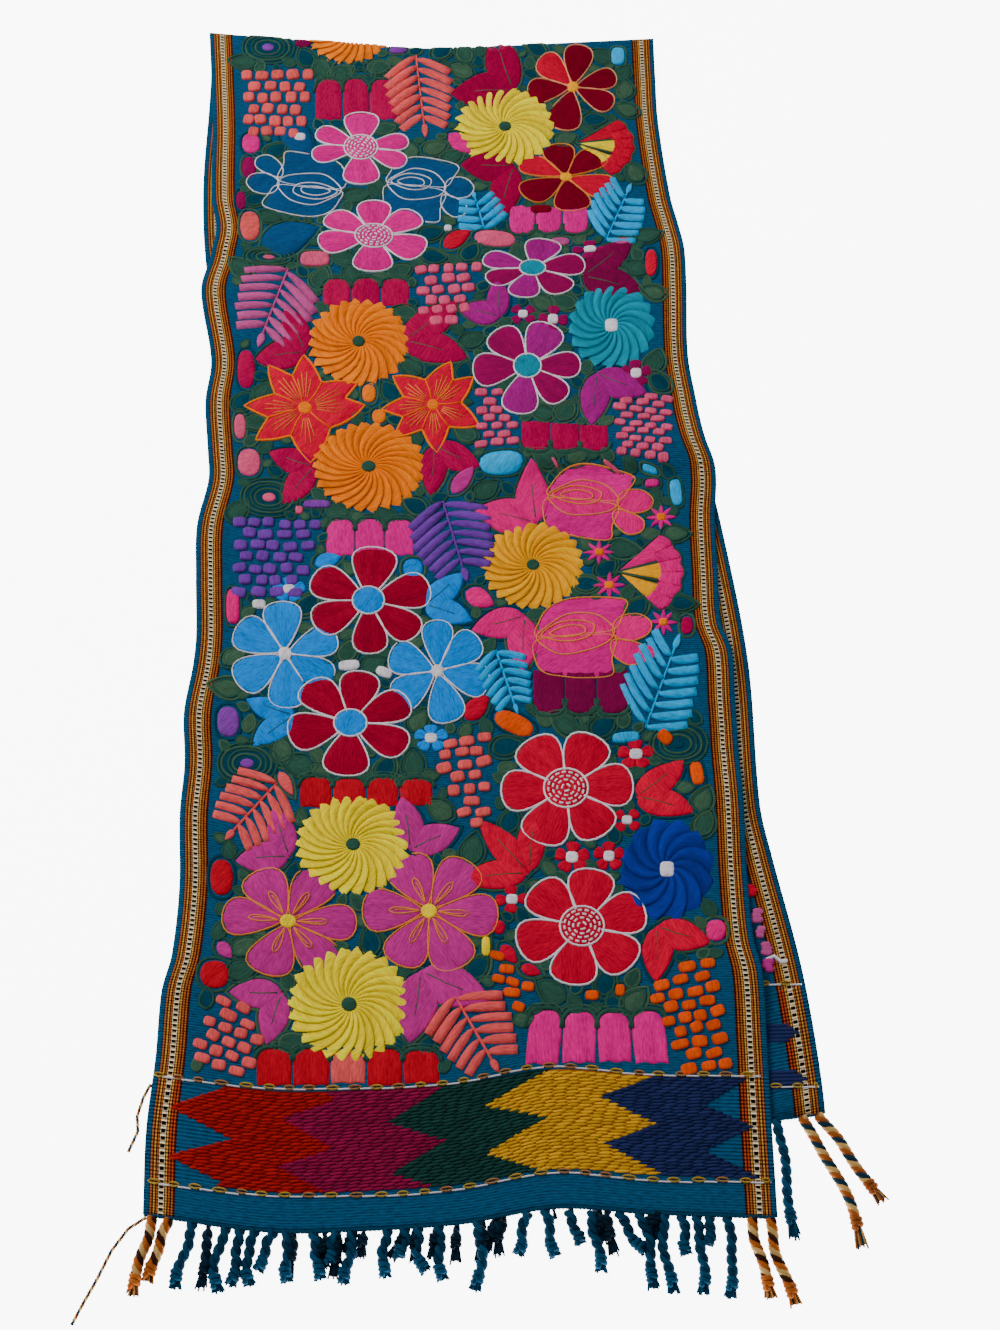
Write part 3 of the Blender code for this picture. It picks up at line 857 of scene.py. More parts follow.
    Motif(K.BLOCK, 626, 737, 14, 5, T.CYAN, turn=5),
    Motif(K.RINGS, 678, 744, 30, 20, T.LEAF, heart=T.LAGOON),
    Motif(K.BLOCK, 665, 737, 8, 6, T.BRICK_ORANGE, turn=-40),
    Motif(K.BLOCK, 697, 773, 6.5, 12, T.BRICK_ORANGE, turn=10),
    Motif(K.TULIP, 670, 790, 23, 34, T.CORAL, turn=-80),
    Motif(K.TULIP, 503, 847, 37, 37, T.CORAL, turn=45, count=3),
    Motif(K.TULIP, 673, 949, 28, 29, T.CORAL, turn=-145),
    Motif(K.WHEEL, 667, 869, 49, 53, T.ROYAL, heart=T.WHITE, count=12),
    Motif(K.OVAL, 499, 927, 6, 7, T.RED),
    Motif(K.OVAL, 716, 930, 10, 11, T.ROSE),
    Motif(K.BLOCK, 486, 946, 4.5, 10, T.YELLOW),
    Motif(K.LEAF, 509, 954, 12, 7, T.RED, turn=-50),
    Motif(K.LEAF, 531, 970, 11, 6, T.RED, turn=-20),
    Motif(K.BRICKS, 513, 982, 32, 27, T.BRICK_ORANGE, count=5, taper=0.45, turn=-14, skew=0.2),
    Motif(K.BRICKS, 693, 1016, 42, 56, T.BRICK_ORANGE, count=9, taper=0.62, skew=0.4, turn=9),
    Motif(K.SCALLOPS, 597, 1037, 70, 27, T.HOT_PINK, count=4, skew=0.12),
    Motif(K.BLOCK, 592, 995, 7, 5, T.BRICK_ORANGE),
    Motif(K.BLOCK, 620, 990, 5, 6, T.BRICK_ORANGE),
)


class Embroidery:
    """The raised motifs of the upper layer.

    Each make_ method stitches the motif that it is given, after locate has set its place.
    """

    outline_width = 1.3
    thread_height = 1.15
    petal_height = 1.4
    wheel_height = 2.0
    brick_height = 2.1
    brick_step = 11.5
    green_width = 2.2
    green_gap = 1.0
    cell = 2.0
    grid_corner = (-165.0, 86.0)
    grid_cells = (166, 432)
    border_width = 26.0
    sewn_band_end = 86.0
    field_end = 950.0
    widest_filler = 9.0

    def __init__(self, drape: Drape, camera: PhotoCamera) -> None:
        """Start without any stitches.

        Args:
            drape: the shape that carries the motifs.
            camera: the viewpoint through which they are placed.
        """
        self.drape = drape
        self.camera = camera
        self.random = random.Random(11)
        self.pads = StitchMesh("satin_pads", 21)
        self.lines = StitchMesh("thread_outlines", 22)
        self.wheels = StitchMesh("spiral_flowers", 23)
        self.bricks = StitchMesh("block_stitches", 24)
        self.greens = StitchMesh("green_outlines", 25)
        self.covered: list[np.ndarray] = []
        self.origin = np.zeros(2)
        self.axes = np.eye(2)

    def locate(self, motif: Motif) -> None:
        """Set the flat place and scale of a motif: millimetres for each pixel right and up.

        Args:
            motif: the motif that is stitched next.
        """
        height = 6.0
        for _ in range(3):
            x, along = self.camera.place(motif.px, motif.py, height)
            height = float(self.drape.face_height(np.array(x), np.array(along)))
        right = np.array(self.camera.place(motif.px + 1.0, motif.py, height))
        above = np.array(self.camera.place(motif.px, motif.py - 1.0, height))
        self.origin = np.array((x, along))
        self.axes = np.column_stack((right - self.origin, above - self.origin))

    def flat(self, motif: Motif, unit: np.ndarray, turned: bool = True) -> np.ndarray:
        """Flat millimetres of points given in the motif's unit frame.

        Args:
            motif: the motif.
            unit: points, with the motif's edges at -1 and +1.
            turned: whether the motif's turn applies.

        Returns:
            The points on the cloth.
        """
        points = unit * (motif.half_w, motif.half_h)
        if turned and motif.turn:
            angle = math.radians(motif.turn)
            spin = np.array(((math.cos(angle), math.sin(angle)),
                             (-math.sin(angle), math.cos(angle))))
            points = points @ spin
        return self.origin + points @ self.axes.T

    def outline(self, line: np.ndarray, thread: Thread, closed: bool = True,
                lift: float = 0.5, width: float = 0.0) -> None:
        """Couch one thread along a line.

        Args:
            line: points of the line.
            thread: the thread.
            closed: whether the last point joins the first.
            lift: height that it starts from.
            width: its width, or 0 for the usual one.
        """
        self.lines.strip(line, (width or self.outline_width) / 2.0, thread,
                         self.thread_height, lift, closed)

    def green(self, shape: np.ndarray, grow: float = 0.0) -> None:
        """Stitch a green line round a shape.

        Args:
            shape: outline of the shape.
            grow: gap to the shape, or 0 for the usual one.
        """
        middle = shape.mean(axis=0)
        reach = np.linalg.norm(shape - middle, axis=1).mean()
        share = 1.0 + (grow or self.green_gap + self.green_width / 2.0) / reach
        thread = self.random.choice((Thread.LEAF, Thread.LEAF, Thread.MOSS, Thread.LAGOON))
        self.greens.strip(middle + (shape - middle) * share, self.green_width / 2.0, thread,
                          0.8, 0.0, True)
        self.covered.append(middle + (shape - middle) * (share + 0.05))

    def cover(self, shape: np.ndarray) -> None:
        """Note that a shape is filled."""
        self.covered.append(shape)

    def outline_clear(self, line: np.ndarray, thread: Thread, lift: float, width: float,
                      known: int) -> None:
        """Couch a thread along the parts of a closed line that no earlier shape covers.

        Args:
            line: points of the closed line.
            thread: the thread.
            lift: height that it starts from.
            width: its width.
            known: how many of the covered shapes are earlier ones.
        """
        hidden = [self.is_covered(point, known) for point in line]
        if not any(hidden):
            self.outline(line, thread, True, lift, width)
            return
        first = hidden.index(True)
        run: list[np.ndarray] = []
        for step in range(1, len(line) + 1):
            index = (first + step) % len(line)
            if not hidden[index]:
                run.append(line[index])
            if hidden[index] and len(run) > 2:
                self.outline(np.array(run), thread, False, lift, width)
            if hidden[index]:
                run = []

    def is_covered(self, point: np.ndarray, known: int | None = None) -> bool:
        """Whether a shape that is already stitched lies at a point.

        Args:
            point: a place on the cloth.
            known: how many of the shapes are asked, or all.

        Returns:
            True where one of them covers the point.
        """
        for shape in self.covered[:known]:
            if (point < shape.min(axis=0)).any() or (point > shape.max(axis=0)).any():
                continue
            ax, ay = shape.T
            bx, by = np.roll(shape, -1, axis=0).T
            crosses = (ay > point[1]) != (by > point[1])
            rise = np.where(ay == by, 1.0, by - ay)
            left = point[0] < (bx - ax) * (point[1] - ay) / rise + ax
            if np.count_nonzero(crosses & left) % 2:
                return True
        return False

    @staticmethod
    def petal(base: float, half_width: float, steps: int = 12, blunt: float = 4.5) -> np.ndarray:
        """Outline of a broad petal that points up, from its base to its tip at 1.

        Args:
            base: where it starts.
            half_width: half of its width.
            steps: points on each side.
            blunt: how blunt its tip is.

        Returns:
            The outline.
        """
        share = (1.0 - np.cos(np.linspace(0.0, math.pi, steps + 1))) / 2.0
        wide = half_width * share ** 0.75 * np.sqrt(1.0 - share ** blunt) / 0.67
        up = base + (1.0 - base) * share
        right = np.column_stack((wide, up))
        left = np.column_stack((-wide, up))[::-1]
        return np.vstack((right, left[1:-1]))

    @staticmethod
    def spin(unit: np.ndarray, degrees: float) -> np.ndarray:
        """Turn unit points that point up so that they point at an angle from the right.

        Args:
            unit: the points.
            degrees: the angle.

        Returns:
            The turned points.
        """
        angle = math.radians(degrees - 90.0)
        turn = np.array(((math.cos(angle), math.sin(angle)), (-math.sin(angle), math.cos(angle))))
        return unit @ turn

    @staticmethod
    def oval(steps: int = 20, power: float = 2.0) -> np.ndarray:
        """Outline of a unit oval; a higher power makes it squarer.

        Args:
            steps: number of points.
            power: 2 for a plain oval.

        Returns:
            The outline.
        """
        angle = np.linspace(0.0, 2.0 * math.pi, steps, endpoint=False)
        cosine, sine = np.cos(angle), np.sin(angle)
        share = 2.0 / power
        return np.column_stack((np.sign(cosine) * np.abs(cosine) ** share,
                                np.sign(sine) * np.abs(sine) ** share))

    @staticmethod
    def blade(bend: float = 0.0, half_width: float = 0.35, steps: int = 10) -> np.ndarray:
        """Outline of a leaf blade from its base at (0, 0) to its tip at (0, 1).

        Args:
            bend: how far its tip lies to the side.
            half_width: half of its width.
            steps: points on each side.

        Returns:
            The outline.
        """
        share = np.linspace(0.0, 1.0, steps + 1)
        wide = half_width * np.sin(math.pi * share ** 0.8) ** 0.8
        middle = bend * share * share
        right = np.column_stack((middle + wide, share))
        left = np.column_stack((middle - wide, share))[::-1]
        return np.vstack((right, left[1:-1]))

    def make_wheel(self, motif: Motif) -> None:
        """A disc of spiral petals with a serrated rim and a small heart."""
        per_petal = 12
        rings = 17
        petals = motif.count
        number = petals * per_petal
        broad = petals < 20
        angle = np.linspace(0.0, 2.0 * math.pi, number, endpoint=False)
        petal = np.floor(angle * petals / (2.0 * math.pi)).astype(int)
        uneven = np.array([self.random.uniform(0.85, 1.15) for _ in range(petals)])[petal]
        radius = np.linspace(0.10, 1.0, rings)
        phase = (angle * petals / (2.0 * math.pi)) % 1.0
        share = radius[:, None]
        depth = 0.12 if broad else 0.15
        tooth = np.minimum(phase / 0.82, (1.0 - phase) / 0.18)
        rim = 1.0 - depth * uneven * (1.0 - tooth) * share ** 3
        swirl = angle + (-1.2 if broad else -0.95) * share ** 0.8
        rim = rim * (1.0 if broad else 1.07)
        unit = np.stack((share * rim * np.cos(swirl), share * rim * np.sin(swirl)), axis=2)
        ridge = np.sin(math.pi * phase ** 1.4) ** 0.6
        dome = np.sqrt(np.clip(1.0 - share ** 6, 0.0, 1.0)) * (0.35 + 0.65 * smooth(share * 4.0))
        lift = self.wheel_height * dome * (0.3 + 0.7 * ridge * smooth(share * 3.0))
        lift[-1] = -0.3
        flat = self.flat(motif, unit.reshape(-1, 2), False)
        places = np.column_stack((flat, lift.reshape(-1)))
        size = np.linalg.norm(self.axes @ (motif.half_w, 0.0))
        across = np.broadcast_to(angle * size * 0.6, (rings, number))
        along = np.broadcast_to(share * size, (rings, number))
        threads = np.stack((along, across + along * 0.4), axis=2).reshape(-1, 2)
        shades = 1.0 + 0.14 * (uneven - 1.0) / 0.15
        # Petals are darker in the valleys between them and a little lighter on their ridges: painted
        # shade and painted highlight, on top of the raised ridges.
        painted_valley_shade = 0.6 + 0.5 * np.clip(ridge, 0.0, 1.0)
        colours = np.ones((rings, number, 4))
        colours[..., :3] = np.array(linear(motif.thread.value)[:3]) * (shades * painted_valley_shade)[None, :, None]
        start = self.wheels.add(places, threads, colours.reshape(-1, 4))
        grid = start + np.arange(rings * number).reshape(rings, number)
        self.wheels.faces += grid_faces(grid, (0, 3, 2, 1), True)
        heart = self.oval(14, 4.0 if broad else 2.0) * (0.15 if broad else 0.13)
        self.pads.pad(self.flat(motif, heart, False), motif.heart, 1.7, 0.3)
        self.cover(self.flat(motif, self.oval(24), False))

    def make_flower(self, motif: Motif) -> None:
        """Broad petals with couched outlines, and a heart."""
        step = 360.0 / motif.count
        directions = motif.petals or tuple(motif.turn + step * n for n in range(motif.count))
        ordered = sorted(angle % 360.0 for angle in directions)
        width = {Heart.DOTTED: 1.45, Heart.RING: 1.35}.get(motif.style, 1.05)
        size = {Heart.DOTTED: 0.33, Heart.RING: 0.25}.get(motif.style, 0.12)
        known = len(self.covered)
        for number, angle in enumerate(directions):
            place = ordered.index(angle % 360.0)
            before = (angle - ordered[place - 1]) % 360.0
            after = (ordered[(place + 1) % len(ordered)] - angle) % 360.0
            half = min(0.35, 0.0058 * min(before, after))
            length = self.random.uniform(0.95, 1.01)
            direction = angle + self.random.uniform(-2.0, 2.0)
            shape = self.flat(motif, self.spin(self.petal(0.08, half) * length, direction), False)
            thread = motif.other if number in motif.others else motif.thread
            under = self.is_covered(shape[len(shape) // 2 + 2], known) or any(
                self.is_covered(point, known) for point in shape[::4])
            self.pads.pad(shape, thread, self.petal_height * (0.75 if under else 1.0),
                          math.radians(direction))
            self.outline_clear(shape, motif.edge, 0.5, width, known)
            self.cover(shape)
            if motif.style is Heart.STAMENS:
                self.make_stamen(motif, direction)
        power = 2.2 if motif.style is Heart.PLAIN else 2.0
        shape = self.flat(motif, self.oval(22, power) * size, False)
        self.pads.pad(shape, motif.heart, 1.3, 1.2, lift=0.6)
        if motif.style in (Heart.RING, Heart.DOTTED):
            self.outline(shape, motif.edge, True, 1.1, width)
        if motif.style is Heart.DOTTED:
            self.make_dashes(motif, size)

    def make_stamen(self, motif: Motif, direction: float) -> None:
        """A long loop of thread on a petal, from near the flower's heart.

        Args:
            motif: the flower.
            direction: the petal's direction, in degrees.
        """
        share = np.linspace(0.0, 1.0, 9)
        side = 0.055 * np.sin(math.pi * share) ** 0.5 * (0.3 + share)
        up = 0.14 + 0.44 * share
        loop = np.vstack((np.column_stack((side, up)), np.column_stack((-side, up))[::-1]))
        shape = self.flat(motif, self.spin(loop, direction), False)
        self.outline(shape, motif.edge, False, 1.0, 0.9)
        inner = np.column_stack((side * 0.3, 0.14 + 0.36 * share))
        self.outline(self.flat(motif, self.spin(inner, direction), False), motif.edge, False,
                     1.0, 0.8)

    def make_dashes(self, motif: Motif, size: float) -> None:
        """Rings of short dashes on a flower's heart.

        Args:
            motif: the flower.
            size: radius of its heart, as a share of the flower's.
        """
        reach = np.linalg.norm(self.axes @ (motif.half_w, 0.0))
        for ring, share in enumerate((0.80, 0.60, 0.40, 0.18)):
            radius = size * share
            dashes = max(2, int(2.0 * math.pi * radius * reach / 4.4))
            for number in range(dashes):
                start = 2.0 * math.pi * (number + 0.35 * ring) / dashes
                angle = start + np.linspace(0.0, 0.62, 4) * 2.0 * math.pi / dashes
                arc = np.column_stack((np.cos(angle), np.sin(angle))) * radius
                self.outline(self.flat(motif, arc, False), motif.edge, False, 1.5, 1.5)

    def make_star(self, motif: Motif) -> None:
        """Pointed petals in one shape, with an outline, veins between them and stamens."""
        tips = sorted(angle % 360.0 for angle in motif.petals)
        rows = []
        gaps = []
        for number, tip in enumerate(tips):
            span = (tips[(number + 1) % len(tips)] - tip) % 360.0
            notch = 0.56 + 0.3 * max(0.0, 1.0 - span / 50.0)
            gaps.append((tip + span / 2.0, notch))
            for share in np.linspace(0.0, 1.0, 12, endpoint=False):
                lobe = abs(share * 2.0 - 1.0)
                reach = notch + (1.0 - notch) * lobe ** 1.35
                turn = math.radians(tip + span * share)
                rows.append((reach * math.cos(turn), reach * math.sin(turn)))
        shape = self.flat(motif, np.array(rows), False)
        self.pads.pad(shape, motif.thread, self.petal_height, 0.9)
        self.outline(shape, motif.edge, True, 0.4, 1.9)
        self.cover(shape)
        for gap, notch in gaps:
            if notch < 0.7:
                vein = self.spin(np.array(((0.0, 0.12), (0.015, 0.3), (0.0, notch))), gap)
                self.outline(self.flat(motif, vein, False), motif.edge, False, 0.9, 1.1)
        for tip in tips:
            for lean in (-12.0, -4.0, 4.0, 12.0):
                far = 0.66 if abs(lean) < 6.0 else 0.54
                line = self.spin(np.array(((0.0, 0.2), (0.0, 0.38), (0.0, far))), tip + lean)
                self.outline(self.flat(motif, line, False), Thread.AMBER, False, 0.9, 0.8)
        self.pads.pad(self.flat(motif, self.oval(12) * 0.12, False), motif.edge, 1.4, lift=0.7)

    def make_feather(self, motif: Motif) -> None:
        """Broad bars of satin stitch on both sides of a thin vein, leaning to its tip."""
        count = motif.count
        pitch = 1.75 / count
        tall = np.linalg.norm(self.axes @ (0.0, motif.half_h))
        wide = np.linalg.norm(self.axes @ (motif.half_w, 0.0))
        along = np.linspace(0.0, 1.0, 7)
        for side in (-1.0, 1.0):
            rise = 0.42 * (motif.taper if side < 0.0 else 1.0 / motif.taper)
            slope = math.cos(math.atan(rise * tall / wide))
            for number in range(count):
                share = (number + (0.1 if side > 0.0 else 0.35)) / count
                foot = -1.0 + 1.66 * share
                reach = (1.0 - 0.42 * share ** 2) * self.random.uniform(0.93, 1.03)
                line = np.column_stack((side * reach * (0.03 + 0.97 * along),
                                        foot + rise * reach * along ** 1.3))
                half = 0.41 * pitch * tall * slope * self.random.uniform(0.9, 1.06)
                widths = half * np.array((0.4, 0.8, 1.0, 1.05, 1.05, 1.05, 1.0))
                bar = self.flat(motif, line)
                lift = 0.9 if any(self.is_covered(point) for point in bar[::2]) else 0.0
                self.bricks.strip(bar, widths, motif.thread, 1.6, lift)
        vein = self.flat(motif, np.column_stack((np.zeros(6), np.linspace(-1.0, 0.8, 6))))
        self.bricks.strip(vein, 0.9, motif.thread, 1.5)
        leaf = self.flat(motif, self.spin(self.blade(0.0, 0.26) * 0.36, 90.0) + (0.0, 0.64))
        self.bricks.pad(leaf, motif.thread, 1.5, 1.0)
        self.cover(self.flat(motif, self.oval(20, 2.6)))

    def make_bricks(self, motif: Motif) -> None:
        """Staggered rows of raised blocks, in a region that may taper or slant downwards."""
        pitch = 2.0 / motif.count
        scale = np.linalg.norm(self.axes @ (motif.half_w, 0.0))
        tall = np.linalg.norm(self.axes @ (0.0, motif.half_h))
        widest = max(1.0, motif.taper)
        rim = []
        for row in range(motif.count):
            down = (row + 0.5) / motif.count
            v = 1.0 - 2.0 * down
            wide = (1.0 + (motif.taper - 1.0) * down) / widest
            shift = motif.skew * (down - 0.5)
            rim.append((shift + wide, v))
            rim.insert(0, (shift - wide, v))
            columns = max(2, round(2.0 * wide * scale / self.brick_step))
            step = 2.0 * wide / columns
            for column in range(-1, columns + 1):
                u = -wide + step * (column + 0.5 + (0.5 if row % 2 else 0.0))
                if abs(u) > wide - step * 0.2:
                    continue
                half = np.array((step * scale * 0.43, pitch * tall * 0.44))
                half = half * (self.random.uniform(0.86, 1.06), self.random.uniform(0.84, 1.06))
                jitter = (self.random.uniform(-0.03, 0.03), self.random.uniform(-0.03, 0.03))
                centre = self.flat(motif, np.array((u + shift, v)) + jitter)
                if self.is_covered(centre):
                    continue
                lean = math.radians(motif.turn + self.random.uniform(-11.0, 11.0))
                turn = np.array(((math.cos(lean), math.sin(lean)),
                                 (-math.sin(lean), math.cos(lean))))
                shape = centre + (self.oval(16, 3.4) * half) @ turn
                self.bricks.pad(shape, motif.thread, self.brick_height, math.pi / 2.0)
        self.cover(self.flat(motif, np.array(rim) * (1.02, 1.12)))

    def make_scallops(self, motif: Motif) -> None:
        """A row of squat satin arches that nearly touch, under thick green caps."""
        angle = np.linspace(0.0, math.pi, 15)
        share = 2.0 / 3.2
        arc = np.column_stack((np.sign(np.cos(angle)) * np.abs(np.cos(angle)) ** share,
                               -0.1 + 1.1 * np.maximum(0.0, np.sin(angle)) ** share))
        foot = np.array(((-0.98, -0.6), (-0.96, -1.0), (-0.4, -0.93), (0.1, -1.02), (0.5, -0.94),
                         (0.97, -1.0), (0.98, -0.6)))
        wide = 1.0 / motif.count
        for number in range(motif.count):
            middle = np.array((-1.0 + wide * (2 * number + 1), 0.0))
            size = (wide * self.random.uniform(0.95, 1.0), self.random.uniform(0.9, 1.05))
            lean = motif.skew * (number + 0.5 - motif.count / 2.0) * 0.2
            unit = np.vstack((arc, foot)) * size
            unit[:, 0] -= unit[:, 1] * lean
            shape = self.flat(motif, unit + middle)
            thread = motif.other if number in motif.others else motif.thread
            self.pads.pad(shape, thread, 1.1, math.pi / 2.0)
            self.cover(shape)
            cap = self.flat(motif, arc * size * (1.02, 1.0) + middle)
            centre = shape.mean(axis=0)
            away = cap - centre
            away = away / np.linalg.norm(away, axis=1, keepdims=True)
            self.greens.strip((cap + away * 1.5)[1:-1], 1.5, Thread.LEAF, 1.3)
            self.greens.strip((cap + away * 4.2)[3:-3], 0.8, Thread.MOSS, 0.9)

    def make_tulip(self, motif: Motif) -> None:
        """Broad blades that open from one base, with a green edge."""
        spread = ((31.0, -0.12, 2.0, 0.29), (-29.0, 0.12, 1.95, 0.29))
        if motif.count == 3:
            spread = ((44.0, -0.1, 1.9, 0.21), (-2.0, 0.0, 2.0, 0.2), (-46.0, 0.1, 1.9, 0.21))
        for lean, bend, size, wide in spread:
            blade = self.spin(self.blade(bend, wide) * size, 90.0 + lean) + (0.0, -1.0)
            shape = self.flat(motif, blade)
            self.pads.pad(shape, motif.thread, self.petal_height, math.radians(90.0 + lean))
            self.green(shape, 1.3)
            vein = self.spin(np.array(((0.0, 0.1), (bend * 0.2, 0.4), (bend * 0.5, 0.62)))
                             * size, 90.0 + lean) + (0.0, -1.0)
            self.lines.strip(self.flat(motif, vein), 0.55, Thread.MOSS, 1.0, 0.7)
            self.cover(shape)

    def make_fan(self, motif: Motif) -> None:
        """Wedges that spread from one base to a scalloped band of satin stitch."""
        turn = np.radians(np.linspace(138.0, 42.0, 25))
        bumps = 1.0 + 0.05 * np.abs(np.sin(np.linspace(0.0, 5.0 * math.pi, 25)))
        ray = np.column_stack((np.cos(turn) * 0.72, np.sin(turn) * 1.05))
        base = np.array((0.0, -1.0))
        band = np.vstack((base + ray * 1.85 * bumps[:, None], base + ray[::-1] * 1.25))
        self.greens.pad(self.flat(motif, np.vstack((base[None, :], base + ray * 1.5))),
                        Thread.LEAF, 0.5)
        for start, end, thread in ((0, 8, motif.thread), (8, 16, motif.heart),
                                   (17, 25, motif.heart)):
            wedge = np.vstack((base + ray[start:start + 1] * 0.12, base + ray[start:end] * 1.3))
            self.pads.pad(self.flat(motif, wedge), thread, 1.3, 0.4 * start)
        for index in range(0, 24, 4):
            part = np.vstack((base + ray[index:index + 5] * 1.85 * bumps[index:index + 5, None],
                              base + ray[index:index + 5][::-1] * 1.22))
            self.pads.pad(self.flat(motif, part), motif.thread, 1.5, turn[index])
        vein = self.flat(motif, np.vstack((base, base + ray[16] * 1.25)))
        self.lines.strip(vein, 0.6, Thread.MOSS, 1.0, 1.0)
        shape = self.flat(motif, np.vstack((base[None, :], band[:25])))
        self.green(shape, 1.0)
        self.cover(shape)

    def make_rose(self, motif: Motif) -> None:
        """A half-open bud seen from the side: two large petals, an inner one and a tail."""
        parts = (
            ((-0.91, 0.20), (-0.86, 0.52), (-0.66, 0.84), (-0.30, 0.98), (0.20, 0.90),
             (0.66, 0.70), (0.55, 0.35), (0.36, 0.06), (-0.20, 0.10)),
            ((-0.94, 0.12), (-1.0, -0.35), (-0.88, -0.66), (-0.58, -0.82), (-0.28, -0.93),
             (0.20, -0.98), (0.25, -0.60), (0.36, -0.10), (-0.20, 0.06)),
            ((0.34, 0.02), (0.42, 0.26), (0.60, 0.36), (0.85, 0.30), (1.0, 0.05), (0.90, -0.20),
             (0.62, -0.28), (0.42, -0.16)),
            ((0.32, -0.18), (0.58, -0.26), (0.82, -0.48), (0.78, -0.76), (0.54, -0.84),
             (0.34, -0.64), (0.26, -0.40)),
            ((-0.92, 0.22), (-0.60, 0.50), (-0.30, 0.62), (0.10, 0.50), (0.32, 0.22),
             (0.37, 0.0), (0.20, -0.22), (-0.20, -0.32), (-0.56, -0.30), (-0.80, -0.08)),
        )
        width = 1.05
        known = len(self.covered)
        for index, points in enumerate(parts):
            shape = self.flat(motif, self.smooth_loop(np.array(points)))
            thread = motif.other if index > 1 else motif.thread
            self.pads.pad(shape, thread, self.petal_height * 0.72, 0.5 * index,
                          0.3 * (index == 4))
            self.outline_clear(shape, motif.edge, 0.4 + 0.3 * (index == 4), width, known)
            self.cover(shape)
        drop = ((-0.84, 0.24), (-0.55, 0.44), (-0.20, 0.42), (0.05, 0.26), (-0.04, 0.02),
                (-0.35, -0.04), (-0.65, 0.06))
        seed = ((-0.70, 0.22), (-0.42, 0.34), (-0.14, 0.26), (-0.14, 0.10), (-0.45, 0.08))
        for points in (drop, seed):
            shape = self.flat(motif, self.smooth_loop(np.array(points)))
            self.outline(shape, motif.edge, True, 1.0, width)

    @staticmethod
    def smooth_loop(points: np.ndarray, steps: int = 5) -> np.ndarray:
        """Closed smooth curve through a few points.

        Args:
            points: the points.
            steps: points of the curve for each of them.

        Returns:
            The curve.
        """
        before = np.roll(points, 1, axis=0)
        after = np.roll(points, -1, axis=0)
        second = np.roll(points, -2, axis=0)
        rows = []
        for share in np.linspace(0.0, 1.0, steps, endpoint=False):
            rows.append(0.5 * (2.0 * points + (after - before) * share
                               + (2.0 * before - 5.0 * points + 4.0 * after - second) * share ** 2
                               + (3.0 * points - before - 3.0 * after + second) * share ** 3))
        return np.stack(rows, axis=1).reshape(-1, 2)

    def make_oval(self, motif: Motif) -> None:
        """A plain oval with a green line round it."""
        shape = self.flat(motif, self.oval(16, 2.4))
        self.pads.pad(shape, motif.thread, self.petal_height, 0.8)
        self.green(shape)
        self.cover(shape)

    def make_rings(self, motif: Motif) -> None:
        """Green ovals inside each other round a small heart."""
        self.greens.pad(self.flat(motif, self.oval(20)), Thread.LAGOON, 0.5)
        for share, thread in ((0.97, Thread.LEAF), (0.80, Thread.MOSS), (0.62, Thread.LEAF),
                              (0.45, Thread.MOSS)):
            wobble = 1.0 + 0.03 * np.sin(np.linspace(0.0, 9.0, 28) + share * 20.0)
            shape = self.flat(motif, self.oval(28, 2.2) * share * wobble[:, None])
            self.greens.strip(shape, 1.0, thread, 1.2, 0.0, True)
        self.pads.pad(self.flat(motif, self.oval(12) * 0.23), motif.heart, 1.3)
        self.cover(self.flat(motif, self.oval(20)))

    def make_bud(self, motif: Motif) -> None:
        """A small flower: round petals and a squarish heart, or eight pointed ones."""
        step = 360.0 / motif.count
        pointed = motif.count > 6
        for number in range(motif.count):
            direction = 90.0 + motif.turn + step * number + self.random.uniform(-6.0, 6.0)
            unit = self.blade(0.0, 0.15, 6) if pointed else self.petal(0.1, 0.4, 7)
            shape = self.flat(motif, self.spin(unit, direction), False)
            self.pads.pad(shape, motif.thread, 1.2, math.radians(direction))
            self.cover(shape)
        heart = self.oval(10, 3.4) * (0.28 if pointed else 0.36)
        self.pads.pad(self.flat(motif, heart, False), motif.heart, 1.6, lift=0.4)

    def make_leaf(self, motif: Motif) -> None:
        """One leaf with a vein."""
        blade = (self.blade(0.0, 0.5) * (2.0, 2.0)) + (0.0, -1.0)
        shape = self.flat(motif, blade @ np.array(((0.0, -1.0), (1.0, 0.0))))
        self.pads.pad(shape, motif.thread, self.petal_height, 0.4)
        self.green(shape)
        self.cover(shape)

    def make_block(self, motif: Motif) -> None:
        """A small plain block."""
        shape = self.flat(motif, self.oval(14, 3.2))
        self.bricks.pad(shape, motif.thread, self.brick_height, math.pi / 2.0)
        if motif.half_w > 4.0 and motif.thread is not Thread.WHITE:
            self.green(shape, 1.8)
        self.cover(shape)

    def make_chain(self, motif: Motif) -> None:
        """A row of small green loops."""
        angle = np.linspace(-0.3, math.pi + 0.3, 11)
        wide = 1.0 / motif.count
        for number in range(motif.count):
            for share, thread in ((1.0, Thread.MOSS), (0.55, Thread.LEAF)):
                loop = np.column_stack((np.cos(angle) * wide * share - 1.0 + wide * (2 * number + 1),
                                        np.sin(angle) * 1.6 * share - 0.6))
                self.greens.strip(self.flat(motif, loop), 0.9, thread, 1.1)

